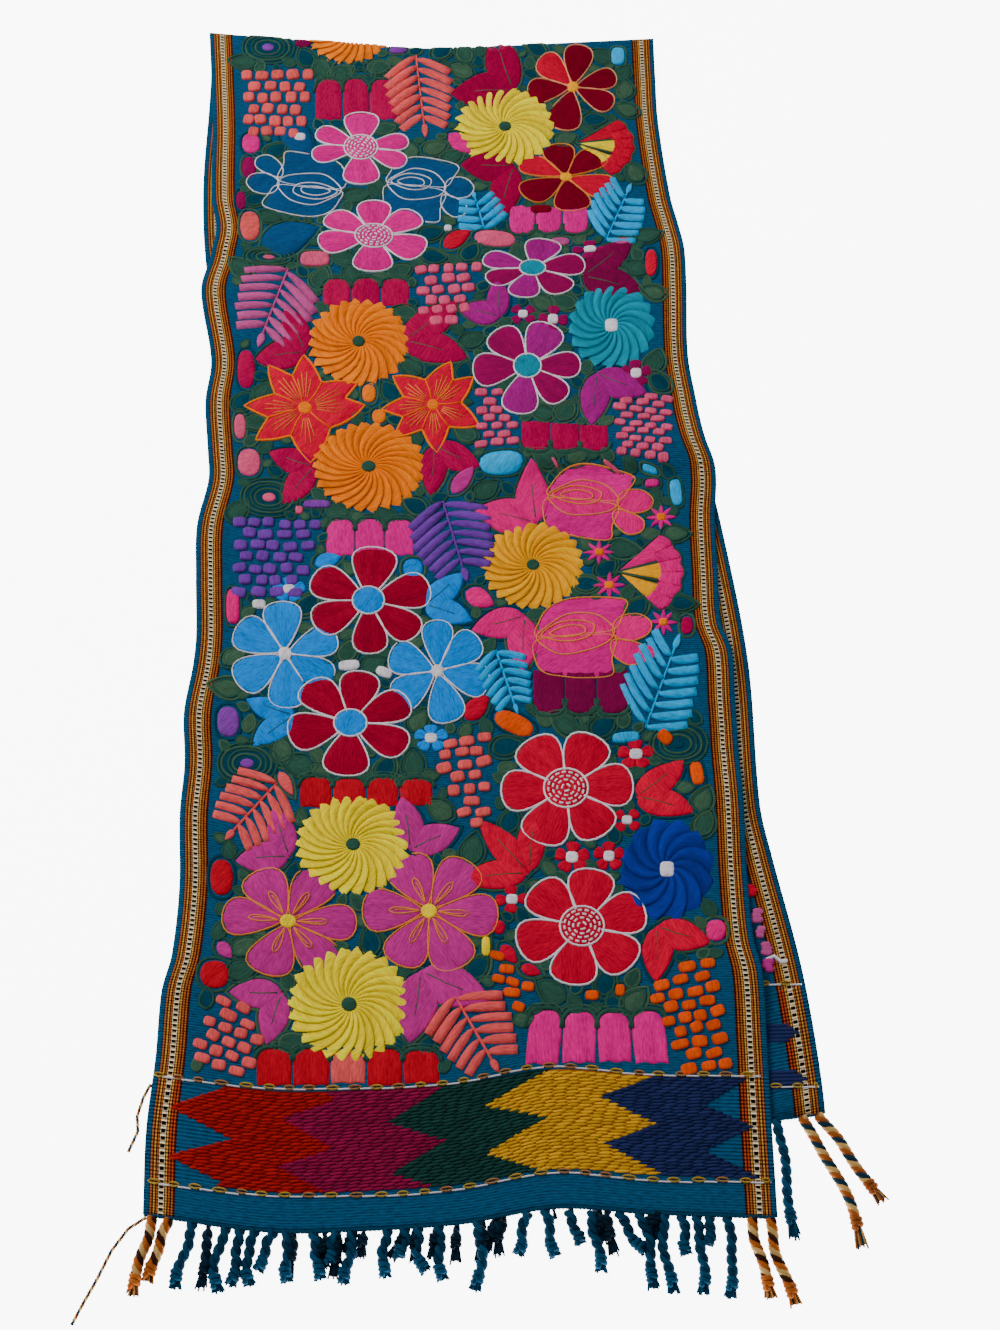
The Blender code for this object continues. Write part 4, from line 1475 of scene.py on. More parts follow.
    def free_room(self) -> np.ndarray:
        """Distance from each cell of a grid over the field to the nearest stitched shape.

        Returns:
            The distances in millimetres, up to the widest filling leaf.
        """
        cell = self.cell
        low = np.array(self.grid_corner)
        size = self.grid_cells
        filled = np.zeros(size, bool)
        for shape in self.covered:
            start = np.floor((shape.min(axis=0) - low) / cell).astype(int)
            end = np.ceil((shape.max(axis=0) - low) / cell).astype(int) + 1
            start = np.clip(start, 0, size)
            end = np.clip(end, 0, size)
            if (end <= start).any():
                continue
            xs = low[0] + (np.arange(start[0], end[0]) + 0.5) * cell
            ys = low[1] + (np.arange(start[1], end[1]) + 0.5) * cell
            grid_x, grid_y = np.meshgrid(xs, ys, indexing="ij")
            inside = np.zeros(grid_x.shape, bool)
            following = np.roll(shape, -1, axis=0)
            for (ax, ay), (bx, by) in zip(shape, following):
                crosses = (ay > grid_y) != (by > grid_y)
                if ay != by:
                    inside ^= crosses & (grid_x < (bx - ax) * (grid_y - ay) / (by - ay) + ax)
            filled[start[0]:end[0], start[1]:end[1]] |= inside
        room = np.zeros(size)
        grown = filled.copy()
        for _ in range(round(self.widest_filler)):
            room[~grown] += cell
            wider = grown.copy()
            wider[1:] |= grown[:-1]
            wider[:-1] |= grown[1:]
            wider[:, 1:] |= grown[:, :-1]
            wider[:, :-1] |= grown[:, 1:]
            grown = wider
        return room

    def fill_gaps(self) -> None:
        """Stitch small leaves where the ground still shows between the motifs."""
        room = self.free_room()
        columns, rows = self.grid_cells
        places = [(room[i, j], i, j) for i in range(columns) for j in range(rows)
                  if room[i, j] > self.cell]
        self.random.shuffle(places)
        places.sort(key=lambda place: -place[0])
        taken: list[tuple[float, float, float]] = []
        for free, i, j in places:
            x = self.grid_corner[0] + (i + 0.5) * self.cell
            along = self.grid_corner[1] + (j + 0.5) * self.cell
            left = float(self.drape.upper.read("left", along)) + self.border_width
            right = float(self.drape.upper.read("right", along)) - self.border_width
            if not left < x < right or along > self.field_end:
                continue
            reach = min(free, self.widest_filler)
            if along - 1.4 * reach < float(self.drape.hem_at(x)) + self.sewn_band_end:
                continue
            if any((x - a) ** 2 + (along - b) ** 2 < (reach + c) ** 2 * 0.9
                   for a, b, c in taken):
                continue
            taken.append((x, along, reach))
            self.make_filler(x, along, reach)
        LOG.info("small filling leaves: %d", len(taken))

    def make_filler(self, x: float, along: float, reach: float) -> None:
        """One small dark leaf in a gap, inside lines of green thread.

        Args:
            x: its middle across the cloth.
            along: its middle along the cloth.
            reach: half of its length.
        """
        lean = self.random.uniform(0.0, 180.0)
        blade = self.spin((self.blade(0.14, 0.34) * 2.0 + (0.0, -1.0)), lean) * reach * 1.1
        shape = blade + (x, along)
        if reach > 3.5:
            fill = self.random.choice((Thread.LAGOON, Thread.LEAF, Thread.LEAF, Thread.MOSS))
            self.greens.pad(shape, fill, 0.8, math.radians(lean))
        for grow in ((1.0, 1.35) if reach > 6.5 else (1.0,)):
            thread = self.random.choice((Thread.LEAF, Thread.LEAF, Thread.MOSS))
            self.greens.strip((x, along) + blade * grow, 1.1, thread, 1.0, 0.0, True)

    def build(self, finish: bpy.types.Material, twist: bpy.types.Material) -> list[bpy.types.Object]:
        """Make every motif and lay them on the cloth.

        Args:
            finish: material of the satin stitch.
            twist: material of the couched threads.

        Returns:
            The pieces.
        """
        makers = {kind: getattr(self, f"make_{kind.name.lower()}") for kind in Kind}
        order = {Kind.WHEEL: 0, Kind.FLOWER: 0, Kind.STAR: 0, Kind.ROSE: 1}
        for motif in sorted(MOTIFS, key=lambda motif: order.get(motif.kind, 2)):
            self.locate(motif)
            makers[motif.kind](motif)
        self.fill_gaps()
        pieces = [collector.build(self.drape, finish)
                  for collector in (self.pads, self.wheels, self.bricks, self.greens)]
        pieces.append(self.lines.build(self.drape, twist))
        return pieces


@dataclass(frozen=True)
class WovenCotton:
    """Hand-woven cotton: teal ground with fine weft ribs and beaded, laddered borders."""

    ground: str = "0E4B6F"
    shadow: str = "082C44"
    tan: str = "AE5A24"
    flame: str = "B4401C"
    brown: str = "3A1206"
    gold: str = "CC9038"
    cream: str = "ECD2A4"
    rung: str = "0E0A08"
    width_mm: float = 380.0
    field_rib_mm: float = 1.6
    band_rib_mm: float = 2.2
    band_start_mm: float = 22.0
    band_end_mm: float = 82.0
    far_band_start_mm: float = 1797.0
    far_band_end_mm: float = 1860.0
    ladder_start_mm: float = 9.0
    ladder_end_mm: float = 12.4
    ladder_edge_mm: float = 0.3
    ramp_mm: float = 24.0
    border_mm: float = 20.0
    speckle_mm: tuple[float, float] = (5.0, 1.1)
    rib_sway: float = 1.4
    field_depth: float = 0.24
    border_depth: float = 0.22
    band_depth: float = 0.14

    def stripes(self, inner: str) -> tuple[tuple[float, str], ...]:
        """Stripes of the border.

        Args:
            inner: colour of the inner stripes.

        Returns:
            The edge of each, in millimetres from the selvedge, and its colour.
        """
        return ((0.0, self.ground), (3.2, self.shadow), (3.9, self.tan), (4.9, self.brown),
                (5.9, self.gold), (6.8, self.brown), (7.6, self.tan), (8.4, self.brown),
                (8.9, self.cream), (12.4, self.brown), (13.1, self.gold), (14.0, self.brown),
                (14.9, inner), (15.9, self.brown), (16.8, inner), (17.8, self.brown),
                (19.2, self.ground))

    def ramp(self, tree: bpy.types.NodeTree, edge: bpy.types.NodeSocket,
             inner: str) -> bpy.types.NodeSocket:
        """Stripes by the distance from the selvedge.

        Args:
            tree: the material's node tree.
            edge: the distance, in millimetres.
            inner: colour of the inner stripes.

        Returns:
            The colour.
        """
        share = add_node(tree, "ShaderNodeMath", {"operation": "DIVIDE"},
                         {0: edge, 1: self.ramp_mm})
        ramp = add_node(tree, "ShaderNodeValToRGB", inputs={0: share.outputs[0]})
        ramp.color_ramp.interpolation = "CONSTANT"
        elements = ramp.color_ramp.elements
        elements.remove(elements[1])
        for number, (start, colour) in enumerate(self.stripes(inner)):
            element = elements[0] if number == 0 else elements.new(start / self.ramp_mm)
            element.color = linear(colour)
        return ramp.outputs["Color"]

    def sums(self) -> tuple[tuple, ...]:
        """Steps of arithmetic from the place on the cloth to the shade of its ribs.

        Returns:
            A name, an operation and its values for each step; a text stands for a result.
        """
        full_turn = 2.0 * math.pi
        return (
            ("across", "MULTIPLY", "x", 1.0 / MM),
            ("along", "MULTIPLY", "y", 1.0 / MM),
            ("from_right", "SUBTRACT", self.width_mm, "across"),
            ("edge", "MINIMUM", "across", "from_right"),
            ("past_start", "GREATER_THAN", "along", self.band_start_mm),
            ("before_end", "LESS_THAN", "along", self.band_end_mm),
            ("near_band", "MULTIPLY", "past_start", "before_end"),
            ("past_far_start", "GREATER_THAN", "along", self.far_band_start_mm),
            ("before_far_end", "LESS_THAN", "along", self.far_band_end_mm),
            ("far_band", "MULTIPLY", "past_far_start", "before_far_end"),
            ("in_band", "ADD", "near_band", "far_band"),
            ("in_field", "SUBTRACT", 1.0, "in_band"),
            ("field_ribs", "MULTIPLY", "along", full_turn / self.field_rib_mm),
            ("band_ribs", "MULTIPLY", "along", full_turn / self.band_rib_mm),
            ("field_phase", "MULTIPLY", "field_ribs", "in_field"),
            ("phase", "MULTIPLY_ADD", "band_ribs", "in_band", "field_phase"),
            ("half_phase", "MULTIPLY", "phase", 0.5),
            ("rung_wave", "SINE", "half_phase"),
            ("on_rung", "GREATER_THAN", "rung_wave", -0.05),
            ("past_rail", "GREATER_THAN", "edge", self.ladder_start_mm + self.ladder_edge_mm),
            ("before_rail", "LESS_THAN", "edge", self.ladder_end_mm - self.ladder_edge_mm),
            ("in_ladder", "MULTIPLY", "past_rail", "before_rail"),
            ("rung", "MULTIPLY", "on_rung", "in_ladder"),
            ("swayed", "MULTIPLY_ADD", "speckle", self.rib_sway, "phase"),
            ("rib", "SINE", "swayed"),
            ("in_border", "LESS_THAN", "edge", self.border_mm),
            ("side_depth", "MULTIPLY_ADD", "in_border", self.border_depth, self.field_depth),
            ("depth", "MULTIPLY_ADD", "in_band", self.band_depth, "side_depth"),
            ("shade", "MULTIPLY_ADD", "rib", "depth", "tone"),
        )

    def build(self) -> bpy.types.Material:
        """Matt cloth whose ribs catch the light in fine lines, drawn at their real spacing.

        Returns:
            The material.
        """
        material, tree, shader = start_material("woven_cotton")
        uv = add_node(tree, "ShaderNodeUVMap", {"uv_map": CLOTH_UV})
        split = add_node(tree, "ShaderNodeSeparateXYZ", inputs={0: uv.outputs[0]})
        long_mm, wide_mm = self.speckle_mm
        scaled = add_node(tree, "ShaderNodeVectorMath", {"operation": "MULTIPLY"},
                          {0: uv.outputs[0], 1: (1.0 / long_mm / MM, 1.0 / wide_mm / MM, 1.0)})
        speckle = add_node(tree, "ShaderNodeTexNoise", inputs={"Vector": scaled.outputs[0],
                                                               "Scale": 1.0, "Detail": 2.0})
        tone = add_node(tree, "ShaderNodeMapRange",
                        inputs={0: speckle.outputs[0], 1: 0.25, 2: 0.75, 3: 0.6, 4: 1.35})
        sockets = {"x": split.outputs["X"], "y": split.outputs["Y"],
                   "speckle": speckle.outputs[0], "tone": tone.outputs[0]}
        for name, operation, *values in self.sums():
            inputs = {number: sockets.get(value, value) for number, value in enumerate(values)}
            step = add_node(tree, "ShaderNodeMath", {"operation": operation}, inputs)
            sockets[name] = step.outputs[0]
        striped = add_node(tree, "ShaderNodeMix", {"data_type": "RGBA"},
                           {0: sockets["in_band"], 6: self.ramp(tree, sockets["edge"], self.tan),
                            7: self.ramp(tree, sockets["edge"], self.flame)})
        laddered = add_node(tree, "ShaderNodeMix", {"data_type": "RGBA"},
                            {0: sockets["rung"], 6: striped.outputs[2], 7: linear(self.rung)})
        colour = add_node(tree, "ShaderNodeVectorMath", {"operation": "SCALE"},
                          {0: laddered.outputs[2], "Scale": sockets["shade"]})
        bump = add_node(tree, "ShaderNodeBump",
                        inputs={"Height": sockets["shade"], "Strength": 0.7, "Distance": 0.0006})
        set_inputs(tree, shader, {"Base Color": colour.outputs[0], "Normal": bump.outputs[0],
                                  "Roughness": 0.85, "Specular IOR Level": COTTON_SPECULAR})
        return material


@dataclass(frozen=True)
class DyedThread:
    """Soft twisted cotton thread: threads lie side by side and each catches the light."""

    name: str
    pitch_mm: float
    run_mm: float
    dark: float
    light: float
    bump_mm: float
    slant: float = 0.0
    roughness: float = 0.72
    patch_scale: float = 0.17
    patch_share: float = 0.45

    def build(self) -> bpy.types.Material:
        """Matt thread, drawn coarser than life so that single threads show.

        Returns:
            The material.
        """
        material, tree, shader = start_material(self.name)
        uv = add_node(tree, "ShaderNodeUVMap", {"uv_map": CLOTH_UV})
        turned = add_node(tree, "ShaderNodeMapping",
                          inputs={"Vector": uv.outputs[0], "Rotation": (0.0, 0.0, self.slant)})
        scaled = add_node(tree, "ShaderNodeVectorMath", {"operation": "MULTIPLY"},
                          {0: turned.outputs[0],
                           1: (1.0 / self.run_mm / MM, 1.0 / self.pitch_mm / MM, 1.0)})
        threads = add_node(tree, "ShaderNodeTexNoise",
                           inputs={"Vector": scaled.outputs[0], "Scale": 1.0, "Detail": 2.5,
                                   "Roughness": 0.6})
        broad = add_node(tree, "ShaderNodeTexNoise",
                         inputs={"Vector": scaled.outputs[0], "Scale": self.patch_scale,
                                 "Detail": 1.0})
        mixed = add_node(tree, "ShaderNodeMath", {"operation": "MULTIPLY_ADD"},
                         {0: broad.outputs[0], 1: self.patch_share, 2: threads.outputs[0]})
        tone = add_node(tree, "ShaderNodeMapRange",
                        inputs={0: mixed.outputs[0], 1: 0.45, 2: 1.0, 3: self.dark,
                                4: self.light})
        tint = add_node(tree, "ShaderNodeAttribute", {"attribute_name": TINT})
        colour = add_node(tree, "ShaderNodeVectorMath", {"operation": "SCALE"},
                          {0: tint.outputs["Color"], "Scale": tone.outputs[0]})
        bump = add_node(tree, "ShaderNodeBump",
                        inputs={"Height": threads.outputs[0], "Strength": 0.6,
                                "Distance": self.bump_mm * MM})
        set_inputs(tree, shader, {"Base Color": colour.outputs[0], "Normal": bump.outputs[0],
                                  "Roughness": self.roughness,
                                  "Specular IOR Level": COTTON_SPECULAR})
        return material


@dataclass
class RunnerCloth:
    """The one woven sheet: upper layer, fold and lower layer, with real thickness."""

    drape: Drape
    columns: int = 96
    upper_rows: int = 300
    fold_rows: int = 14
    lower_rows: int = 90
    thickness: float = 1.4
    crowding: float = 0.8

    def spread(self) -> np.ndarray:
        """Places from the left selvedge (-1) to the right (+1), closer together at both."""
        across = np.sin(np.linspace(-1.0, 1.0, self.columns + 1) * math.pi / 2.0 * self.crowding)
        return across / across[-1]

    def places(self) -> tuple[np.ndarray, np.ndarray, np.ndarray, np.ndarray]:
        """Flat places of the grid.

        Returns:
            Across, along and turn of each point, and its distance down the cloth.
        """
        drape = self.drape
        across = self.spread()
        hem = drape.cross.read("hem", across)
        turn = drape.turn(across)
        back = drape.cross.read("back_hem", across)
        arc = math.pi * drape.fold_height / 2.0
        share = np.linspace(0.0, 1.0, self.upper_rows + 1)[:, None]
        upper_along = hem + (turn - hem) * share
        upper_x = drape.edge_point(drape.upper, across, upper_along)
        step = np.linspace(0.0, 1.0, self.fold_rows + 1)[1:-1, None]
        fold_along = turn + arc * step
        fold_x = np.broadcast_to(drape.edge_point(drape.upper, across, turn), fold_along.shape)
        share = np.linspace(0.0, 1.0, self.lower_rows + 1)[:, None]
        lower_at = turn + (back - turn) * share
        lower_x = drape.edge_point(drape.lower, across, lower_at)
        lower_along = turn + arc + (turn - lower_at)
        x = np.vstack((upper_x, fold_x, lower_x))
        along = np.vstack((upper_along, fold_along, lower_along))
        turns = np.broadcast_to(turn, along.shape)
        down = along - hem
        return x, along, turns, down

    def build(self, finish: bpy.types.Material) -> bpy.types.Object:
        """Make the sheet, with both faces and its selvedges and hems closed.

        Args:
            finish: material of the cloth.

        Returns:
            The piece.
        """
        x, along, turns, down = self.places()
        rows, columns = x.shape
        top = self.drape.wrap(x, along, turns, 0.0).reshape(-1, 3)
        bottom = self.drape.wrap(x, along, turns, -self.thickness).reshape(-1, 3)
        count = rows * columns
        grid = np.arange(count).reshape(rows, columns)
        faces = grid_faces(grid) + grid_faces(grid + count, (3, 2, 1, 0))
        rim = np.concatenate((grid[0, :], grid[1:, -1], grid[-1, -2::-1], grid[-2:0:-1, 0]))
        following = np.roll(rim, -1)
        faces += np.stack((rim, rim + count, following + count, following), axis=1).tolist()
        width = np.broadcast_to((self.spread() + 1.0) / 2.0 * self.drape.width, down.shape)
        flat = np.stack((width, down), axis=2).reshape(-1, 2) * MM
        piece = make_mesh("runner_cloth", np.vstack((top, bottom)), faces, finish,
                          np.vstack((flat, flat)))
        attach(piece, BODY)
        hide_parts("cloth")
        return piece


class ZigzagEdge(NamedTuple):
    """A zigzag line between two panels: places across, and how far above the hem."""

    across: tuple[float, ...]
    above: tuple[float, ...]


class SewnBands:
    """The darned zigzag panels near the hem and the running stitches along them."""

    low_line = 20.0
    high_line = 83.0
    edges = (
        ZigzagEdge((-176, -140, -175, -136, -175, -142), (10, 24, 35, 50, 64, 80)),
        ZigzagEdge((-77, -109, -76, -107, -74, -100), (20, 37, 47, 65, 76, 92)),
        ZigzagEdge((-10, -41, -8, -43, -10, -36), (20, 31, 48, 61, 79, 92)),
        ZigzagEdge((48, 16, 54, 16, 58), (22, 37, 52, 65, 81)),
        ZigzagEdge((120, 88, 120, 87, 122), (23, 38, 52, 66, 81)),
        ZigzagEdge((178, 148, 179, 150, 177), (23, 37, 52, 64, 80)),
    )
    # Each panel's thread colour and a darker one; the darker one is painted shade between the darning
    # stitches.
    panels = (
        ("A61810", "6C0E0A"), ("8A1040", "580A28"), ("1A403A", "0A2420"), ("D8A01C", "945808"),
        ("242E5C", "121A3C"),
    )
    row_pitch = 1.95
    stitch_length = 8.4
    knots = (
        (194.0, 201.0, 4.5, Thread.RED), (196.0, 184.0, 5.5, Thread.LILAC),
        (197.0, 173.0, 4.5, Thread.LILAC), (200.0, 162.0, 5.0, Thread.LILAC),
        (199.0, 151.0, 5.0, Thread.MAUVE),
    )
    dash = 7.6
    gap = 5.8
    dash_colours = ("B8963C", "A87848")
    second_colour_share = 0.3
    panel_inset = 1.6
    first_row = 2.6
    seam_overlap = 0.6
    shortest = 1.6
    sewn_to = 186.0
    lower_lines = ((192.0, 219.0, 139.0), (192.0, 222.0, 75.0))
    navy_patches = ((190.0, 214.0, 108.0), (190.0, 216.0, 79.0))
    navy_pitch = 2.3

    def __init__(self, drape: Drape) -> None:
        """Start with nothing made.

        Args:
            drape: the shape of the cloth.
        """
        self.drape = drape
        self.darning = StitchMesh("zigzag_panels", 31)
        self.running = StitchMesh("running_stitches", 32)
        self.below = StitchMesh("lower_stitches", 33)
        self.random = random.Random(7)

    def make_panels(self) -> None:
        """One pillowed patch of darning between each two zigzag lines; the patch is dark, painted
        shade between the stitches.
        """
        inset = self.panel_inset
        above = np.linspace(self.low_line + inset, self.high_line - inset, 61)
        share = np.linspace(0.0, 1.0, 21)
        for left, right, (light, dark) in zip(self.edges, self.edges[1:], self.panels):
            start = np.interp(above, left.above, left.across)[:, None]
            end = np.interp(above, right.above, right.across)[:, None]
            x = start + (end - start) * share
            along = above[:, None] + self.drape.hem_at(x)
            lift = 0.3 + 0.2 * np.minimum(1.0, np.minimum(x - start, end - x) / 3.0)
            lift[0] = -0.2
            lift[-1] = -0.2
            places = np.stack((x, along, lift), axis=2).reshape(-1, 3)
            # The patch under the darning takes the darker colour: painted shade in the gaps between
            # the stitches.
            number = self.darning.add(places, places[:, :2], toned(dark))
            grid = np.arange(number, number + x.size).reshape(x.shape)
            self.darning.faces += grid_faces(grid)
            self.make_darning(left, right, light)

    def make_darning(self, left: ZigzagEdge, right: ZigzagEdge, colour: str) -> None:
        """Rows of long stitches that lean a little, each row starting at another place.

        Args:
            left: the panel's left edge.
            right: its right edge.
            colour: sRGB hex colour.
        """
        rows = int((self.high_line - self.low_line - 3.0) / self.row_pitch)
        for row in range(rows):
            above = self.low_line + self.first_row + row * self.row_pitch
            start = float(np.interp(above, left.above, left.across)) - self.seam_overlap
            end = float(np.interp(above, right.above, right.across)) + self.seam_overlap
            x = start - self.random.uniform(0.0, 1.0) * self.stitch_length
            while x < end - 1.0:
                length = self.stitch_length * self.random.uniform(0.8, 1.2)
                low = max(x, start)
                high = min(x + length, end)
                x += length - 0.5
                if high - low < self.shortest:
                    continue
                places = np.linspace(low, high, 4)
                lean = np.linspace(-0.4, 0.4, 4) * (high - low) / self.stitch_length
                along = self.drape.hem_at(places) + above + lean
                half = np.array((0.5, 1.0, 1.0, 0.5)) * self.random.uniform(0.85, 1.05)
                tint = toned(colour, self.random.uniform(0.8, 1.14))
                self.darning.strip(np.column_stack((places, along)), half, tint, 0.9, 0.35)

    def sew(self, mesh: StitchMesh, start: float, end: float, line: float, hem: bool) -> None:
        """Gold dashes of two strands with a thin white thread between them, along one line.

        Args:
            mesh: the collector that takes them.
            start: where the line starts, across the cloth.
            end: where it ends.
            line: how far it lies along the cloth, or above the front hem.
            hem: whether it follows the front hem.
        """
        x = start
        while x < end - 2.0:
            length = self.dash * self.random.uniform(0.85, 1.15)
            places = np.linspace(x, min(x + length, end), 7)
            sway = 0.7 * math.sin(x / 23.0) + self.random.uniform(-0.25, 0.25)
            along = (self.drape.hem_at(places) if hem else 0.0) + line + sway
            bulge = np.sin(np.linspace(0.0, math.pi, 7)) ** 0.6
            gold = toned(self.dash_colours[self.random.random() < self.second_colour_share])
            for side in (-1.0, 1.0):
                row = np.column_stack((places, along + 1.1 * side * bulge))
                mesh.strip(row, 0.25 + 0.3 * bulge, gold, 1.5, 0.4)
            tail = np.linspace(x + length - 1.0, x + length + self.gap + 1.2, 6)
            tail = np.minimum(tail, end + np.arange(6) * 0.1)
            thin = (self.drape.hem_at(tail) if hem else 0.0) + line + sway - 1.1
            thin = np.broadcast_to(thin, tail.shape)
            mesh.strip(np.column_stack((tail, thin)), 0.5, Thread.WHITE, 1.1, 0.4)
            x += length + self.gap * self.random.uniform(0.8, 1.2)

    def make_lower(self) -> None:
        """What shows beside the upper layer: sewing lines, navy rows and ends of thread."""
        for start, end, along in self.lower_lines:
            self.sew(self.below, start, end, along, False)
        for start, end, along in self.navy_patches:
            for row in range(-2, 3):
                places = np.linspace(start, end - 3.0 * abs(row), 7)
                line = np.column_stack((places, np.full(7, along + self.navy_pitch * row)))
                self.below.strip(line, 1.15, toned(self.panels[-1][0]), 0.9, 0.1)
        for x, along, size, thread in self.knots:
            for part in (-1.0, 0.0, 1.0):
                jitter = (self.random.uniform(-1.0, 1.0), part * size * 0.5)
                wide = size * self.random.uniform(0.6, 0.85)
                knot = Embroidery.oval(12, 2.5) * (wide, size * 0.42) + (x, along) + jitter
                self.below.pad(knot, thread, 2.2, x)
        tail = np.array(((199.0, 155.0), (204.0, 157.0), (208.0, 153.0), (212.0, 154.0)))
        self.below.strip(tail, 1.3, Thread.WHITE, 1.6, 0.3)

    def build(self, finish: bpy.types.Material, thread: bpy.types.Material) -> list[bpy.types.Object]:
        """Make the panels, the running stitches and what shows of the lower layer.

        Args:
            finish: material of the darning.
            thread: material of the sewing threads.

        Returns:
            The pieces.
        """
        self.make_panels()
        for line in (self.low_line, self.high_line):
            self.sew(self.running, -self.sewn_to, self.sewn_to, line, True)
        self.make_lower()
        return [self.darning.build(self.drape, finish), self.running.build(self.drape, thread),
                self.below.build(self.drape, thread, True)]


class Strand(NamedTuple):
    """A loose strand: where it starts and ends across the cloth, its reach and its bow."""

    root: float
    tip: float
    reach: float
    bow: float


class Fringe:
    """Two-ply knotted strands at both hems, on the routes of their solids."""

    front = tuple(Strand(*row) for row in (
        (-182, -193, -33, 1), (-172, -181, -26, -2), (-158, -167, -30, 0), (-138, -143, -33, -3),
        (-130, -135, -30, 1), (-121, -122, -30, -4), (-110, -117, -22, -2), (-102, -101, -29, -1),
        (-87, -84, -28, 1), (-73, -76, -19, -2), (-64, -69, -31, 1), (-43, -46, -28, -1),
        (-33, -36, -17, 1), (-25, -22, -26, -2), (-13, -12, -31, 0), (10, 9, -37, 2),
        (40, 34, -18, -1), (50, 54, -20, 1), (64, 69, -13, 1), (78, 83, -29, -1),
        (94, 108, -19, -1), (106, 111, -39, 3), (121, 123, -42, -2), (131, 132, -21, 1),
        (140, 140, -43, 2), (148, 147, -16, 0), (158, 154, -46, 4), (173, 182, -46, -2),
        (184, 194, -51, -2),
    ))
    showing = tuple(Strand(*row) for row in (
        (-150, -154, -31, 4), (-54, -58, -17, -2), (-2, -2, -21, 0), (24, 22, -18, 1),
        (87, 90, -20, -1), (194, 197, -14, 1), (210, 238, -20, 4), (220, 251, 5, 2),
    ))
    tangle = tuple(Strand(*row) for row in (
        (-104, -100, -25, 2), (-94, -82, -22, 2), (-84, -75, -18, -3), (-78, -73, -27, 2),
        (-70, -74, -20, 2), (-50, -71, -14, 4), (-23, -42, -18, 5), (-28, -25, -20, -2),
        (-9, -15, -19, -2), (16, 13, -21, -2), (22, 16, -16, 2), (29, 22, -12, 3),
        (79, 86, -13, -2), (92, 84, -12, 3), (112, 116, -13, -2), (119, 116, -11, 2),
    ))
    tails = (
        ((-186, 10), (-196, 4), (-205, -8), (-212, -23), (-219, -36), (-225, -48)),
        ((-188, 88), (-192, 80), (-195, 69), (-194, 60), (-199, 48)),
    )
    strand_landing = 16.0
    strand_floor = 0.1
    strip_gap = 0.3
    strip_width = 2.6
    back_strands = 26
    back_tip = 5.0
    ply_radius = 2.0
    ply_offset = 1.5
    twist_length = 12.0
    knot_step = 0.8
    knot_size = 4.8
    tuft_size = 4.4
    tuft_share = 0.17
    rise = 2.9
    rise_below = 1.75
    knot_rise = 3.3
    strand_room = 6.5
    covered_to = 190.0
    teal = ("0E3E5A", "0A3048")
    shaded = ("0A1D2B", "0C2436")
    mixed = ("A4561E", "30180E", "C49A5A")
    dull = ("8E4A1C", "BC9454", "16303E")
    braid = ("C4A868", "8A4A20", "14303E")

    def __init__(self, drape: Drape) -> None:
        """Start with nothing made.

        Args:
            drape: the shape of the cloth.
        """
        self.drape = drape
        self.random = random.Random(41)
        self.points: list[np.ndarray] = []
        self.tints: list[np.ndarray] = []
        self.faces: list[tuple[int, ...]] = []
        self.count = 0

    def tube(self, route: np.ndarray, radius: np.ndarray, colour: str, sides: int = 6) -> None:
        """Add a round tube along a route.

        Args:
            route: points of the middle line, in millimetres.
            radius: radius at each point.
            colour: sRGB hex colour.
            sides: corners of its section.
        """
        aside, up = self.sideways(route)
        angle = np.arange(sides) * 2.0 * math.pi / sides
        ring = (aside[:, None, :] * np.cos(angle)[None, :, None]
                + up[:, None, :] * np.sin(angle)[None, :, None])
        places = route[:, None, :] + ring * np.asarray(radius)[:, None, None]
        places = places.reshape(-1, 3)
        places[:, 2] = np.maximum(places[:, 2], 0.05)
        start = self.count
        self.points.append(places)
        tint = toned(colour, self.random.uniform(0.85, 1.15))
        self.tints.append(np.broadcast_to(tint, (len(places), 4)))
        self.count += len(places)
        grid = np.arange(start, self.count).reshape(-1, sides)
        self.faces += grid_faces(grid, (0, 3, 2, 1), True)
        self.faces += [grid[0].tolist(), grid[-1, ::-1].tolist()]

    @staticmethod
    def sideways(line: np.ndarray) -> tuple[np.ndarray, np.ndarray]:
        """Directions to the side of a line and above it, at each of its points.

        Args:
            line: the line's points.

        Returns:
            The two directions.
        """
        forward = np.gradient(line, axis=0)
        forward /= np.maximum(np.linalg.norm(forward, axis=1, keepdims=True), 1e-9)
        aside = np.cross(forward, (0.0, 0.0, 1.0))
        norm = np.linalg.norm(aside, axis=1, keepdims=True)
        aside = np.where(norm > 0.05, aside / np.maximum(norm, 1e-9), (1.0, 0.0, 0.0))
        return aside, np.cross(aside, forward)

    def hem_line(self, back: bool, across: np.ndarray) -> np.ndarray:
        """Points of a hem's upper edge, in millimetres.

        Args:
            back: whether it is the back hem.
            across: shares of the way, from -1 to +1.

        Returns:
            Across, along and height of each point.
        """
        drape = self.drape
        rows, column = (drape.lower, "back_hem") if back else (drape.upper, "hem")
        hem = drape.cross.read(column, across)
        x = drape.edge_point(rows, across, hem)
        top = np.full(len(x), drape.thickness) if back else drape.face_height(x, hem)
        return np.column_stack((x, hem, top))

    def root_point(self, back: bool, x: float) -> np.ndarray:
        """Where a strand leaves its hem, in millimetres.

        Args:
            back: whether it hangs from the back hem.
            x: its place across the cloth.

        Returns:
            Across, along and height.
        """
        line = self.hem_line(back, np.sin(np.linspace(-1.0, 1.0, 13) * math.pi / 2.0))
        point = np.array([np.interp(x, line[:, 0], line[:, axis]) for axis in range(3)])
        outwards = self.strip_gap + self.strip_width * 0.4
        return point - (0.0, outwards, self.drape.thickness / 2.0)

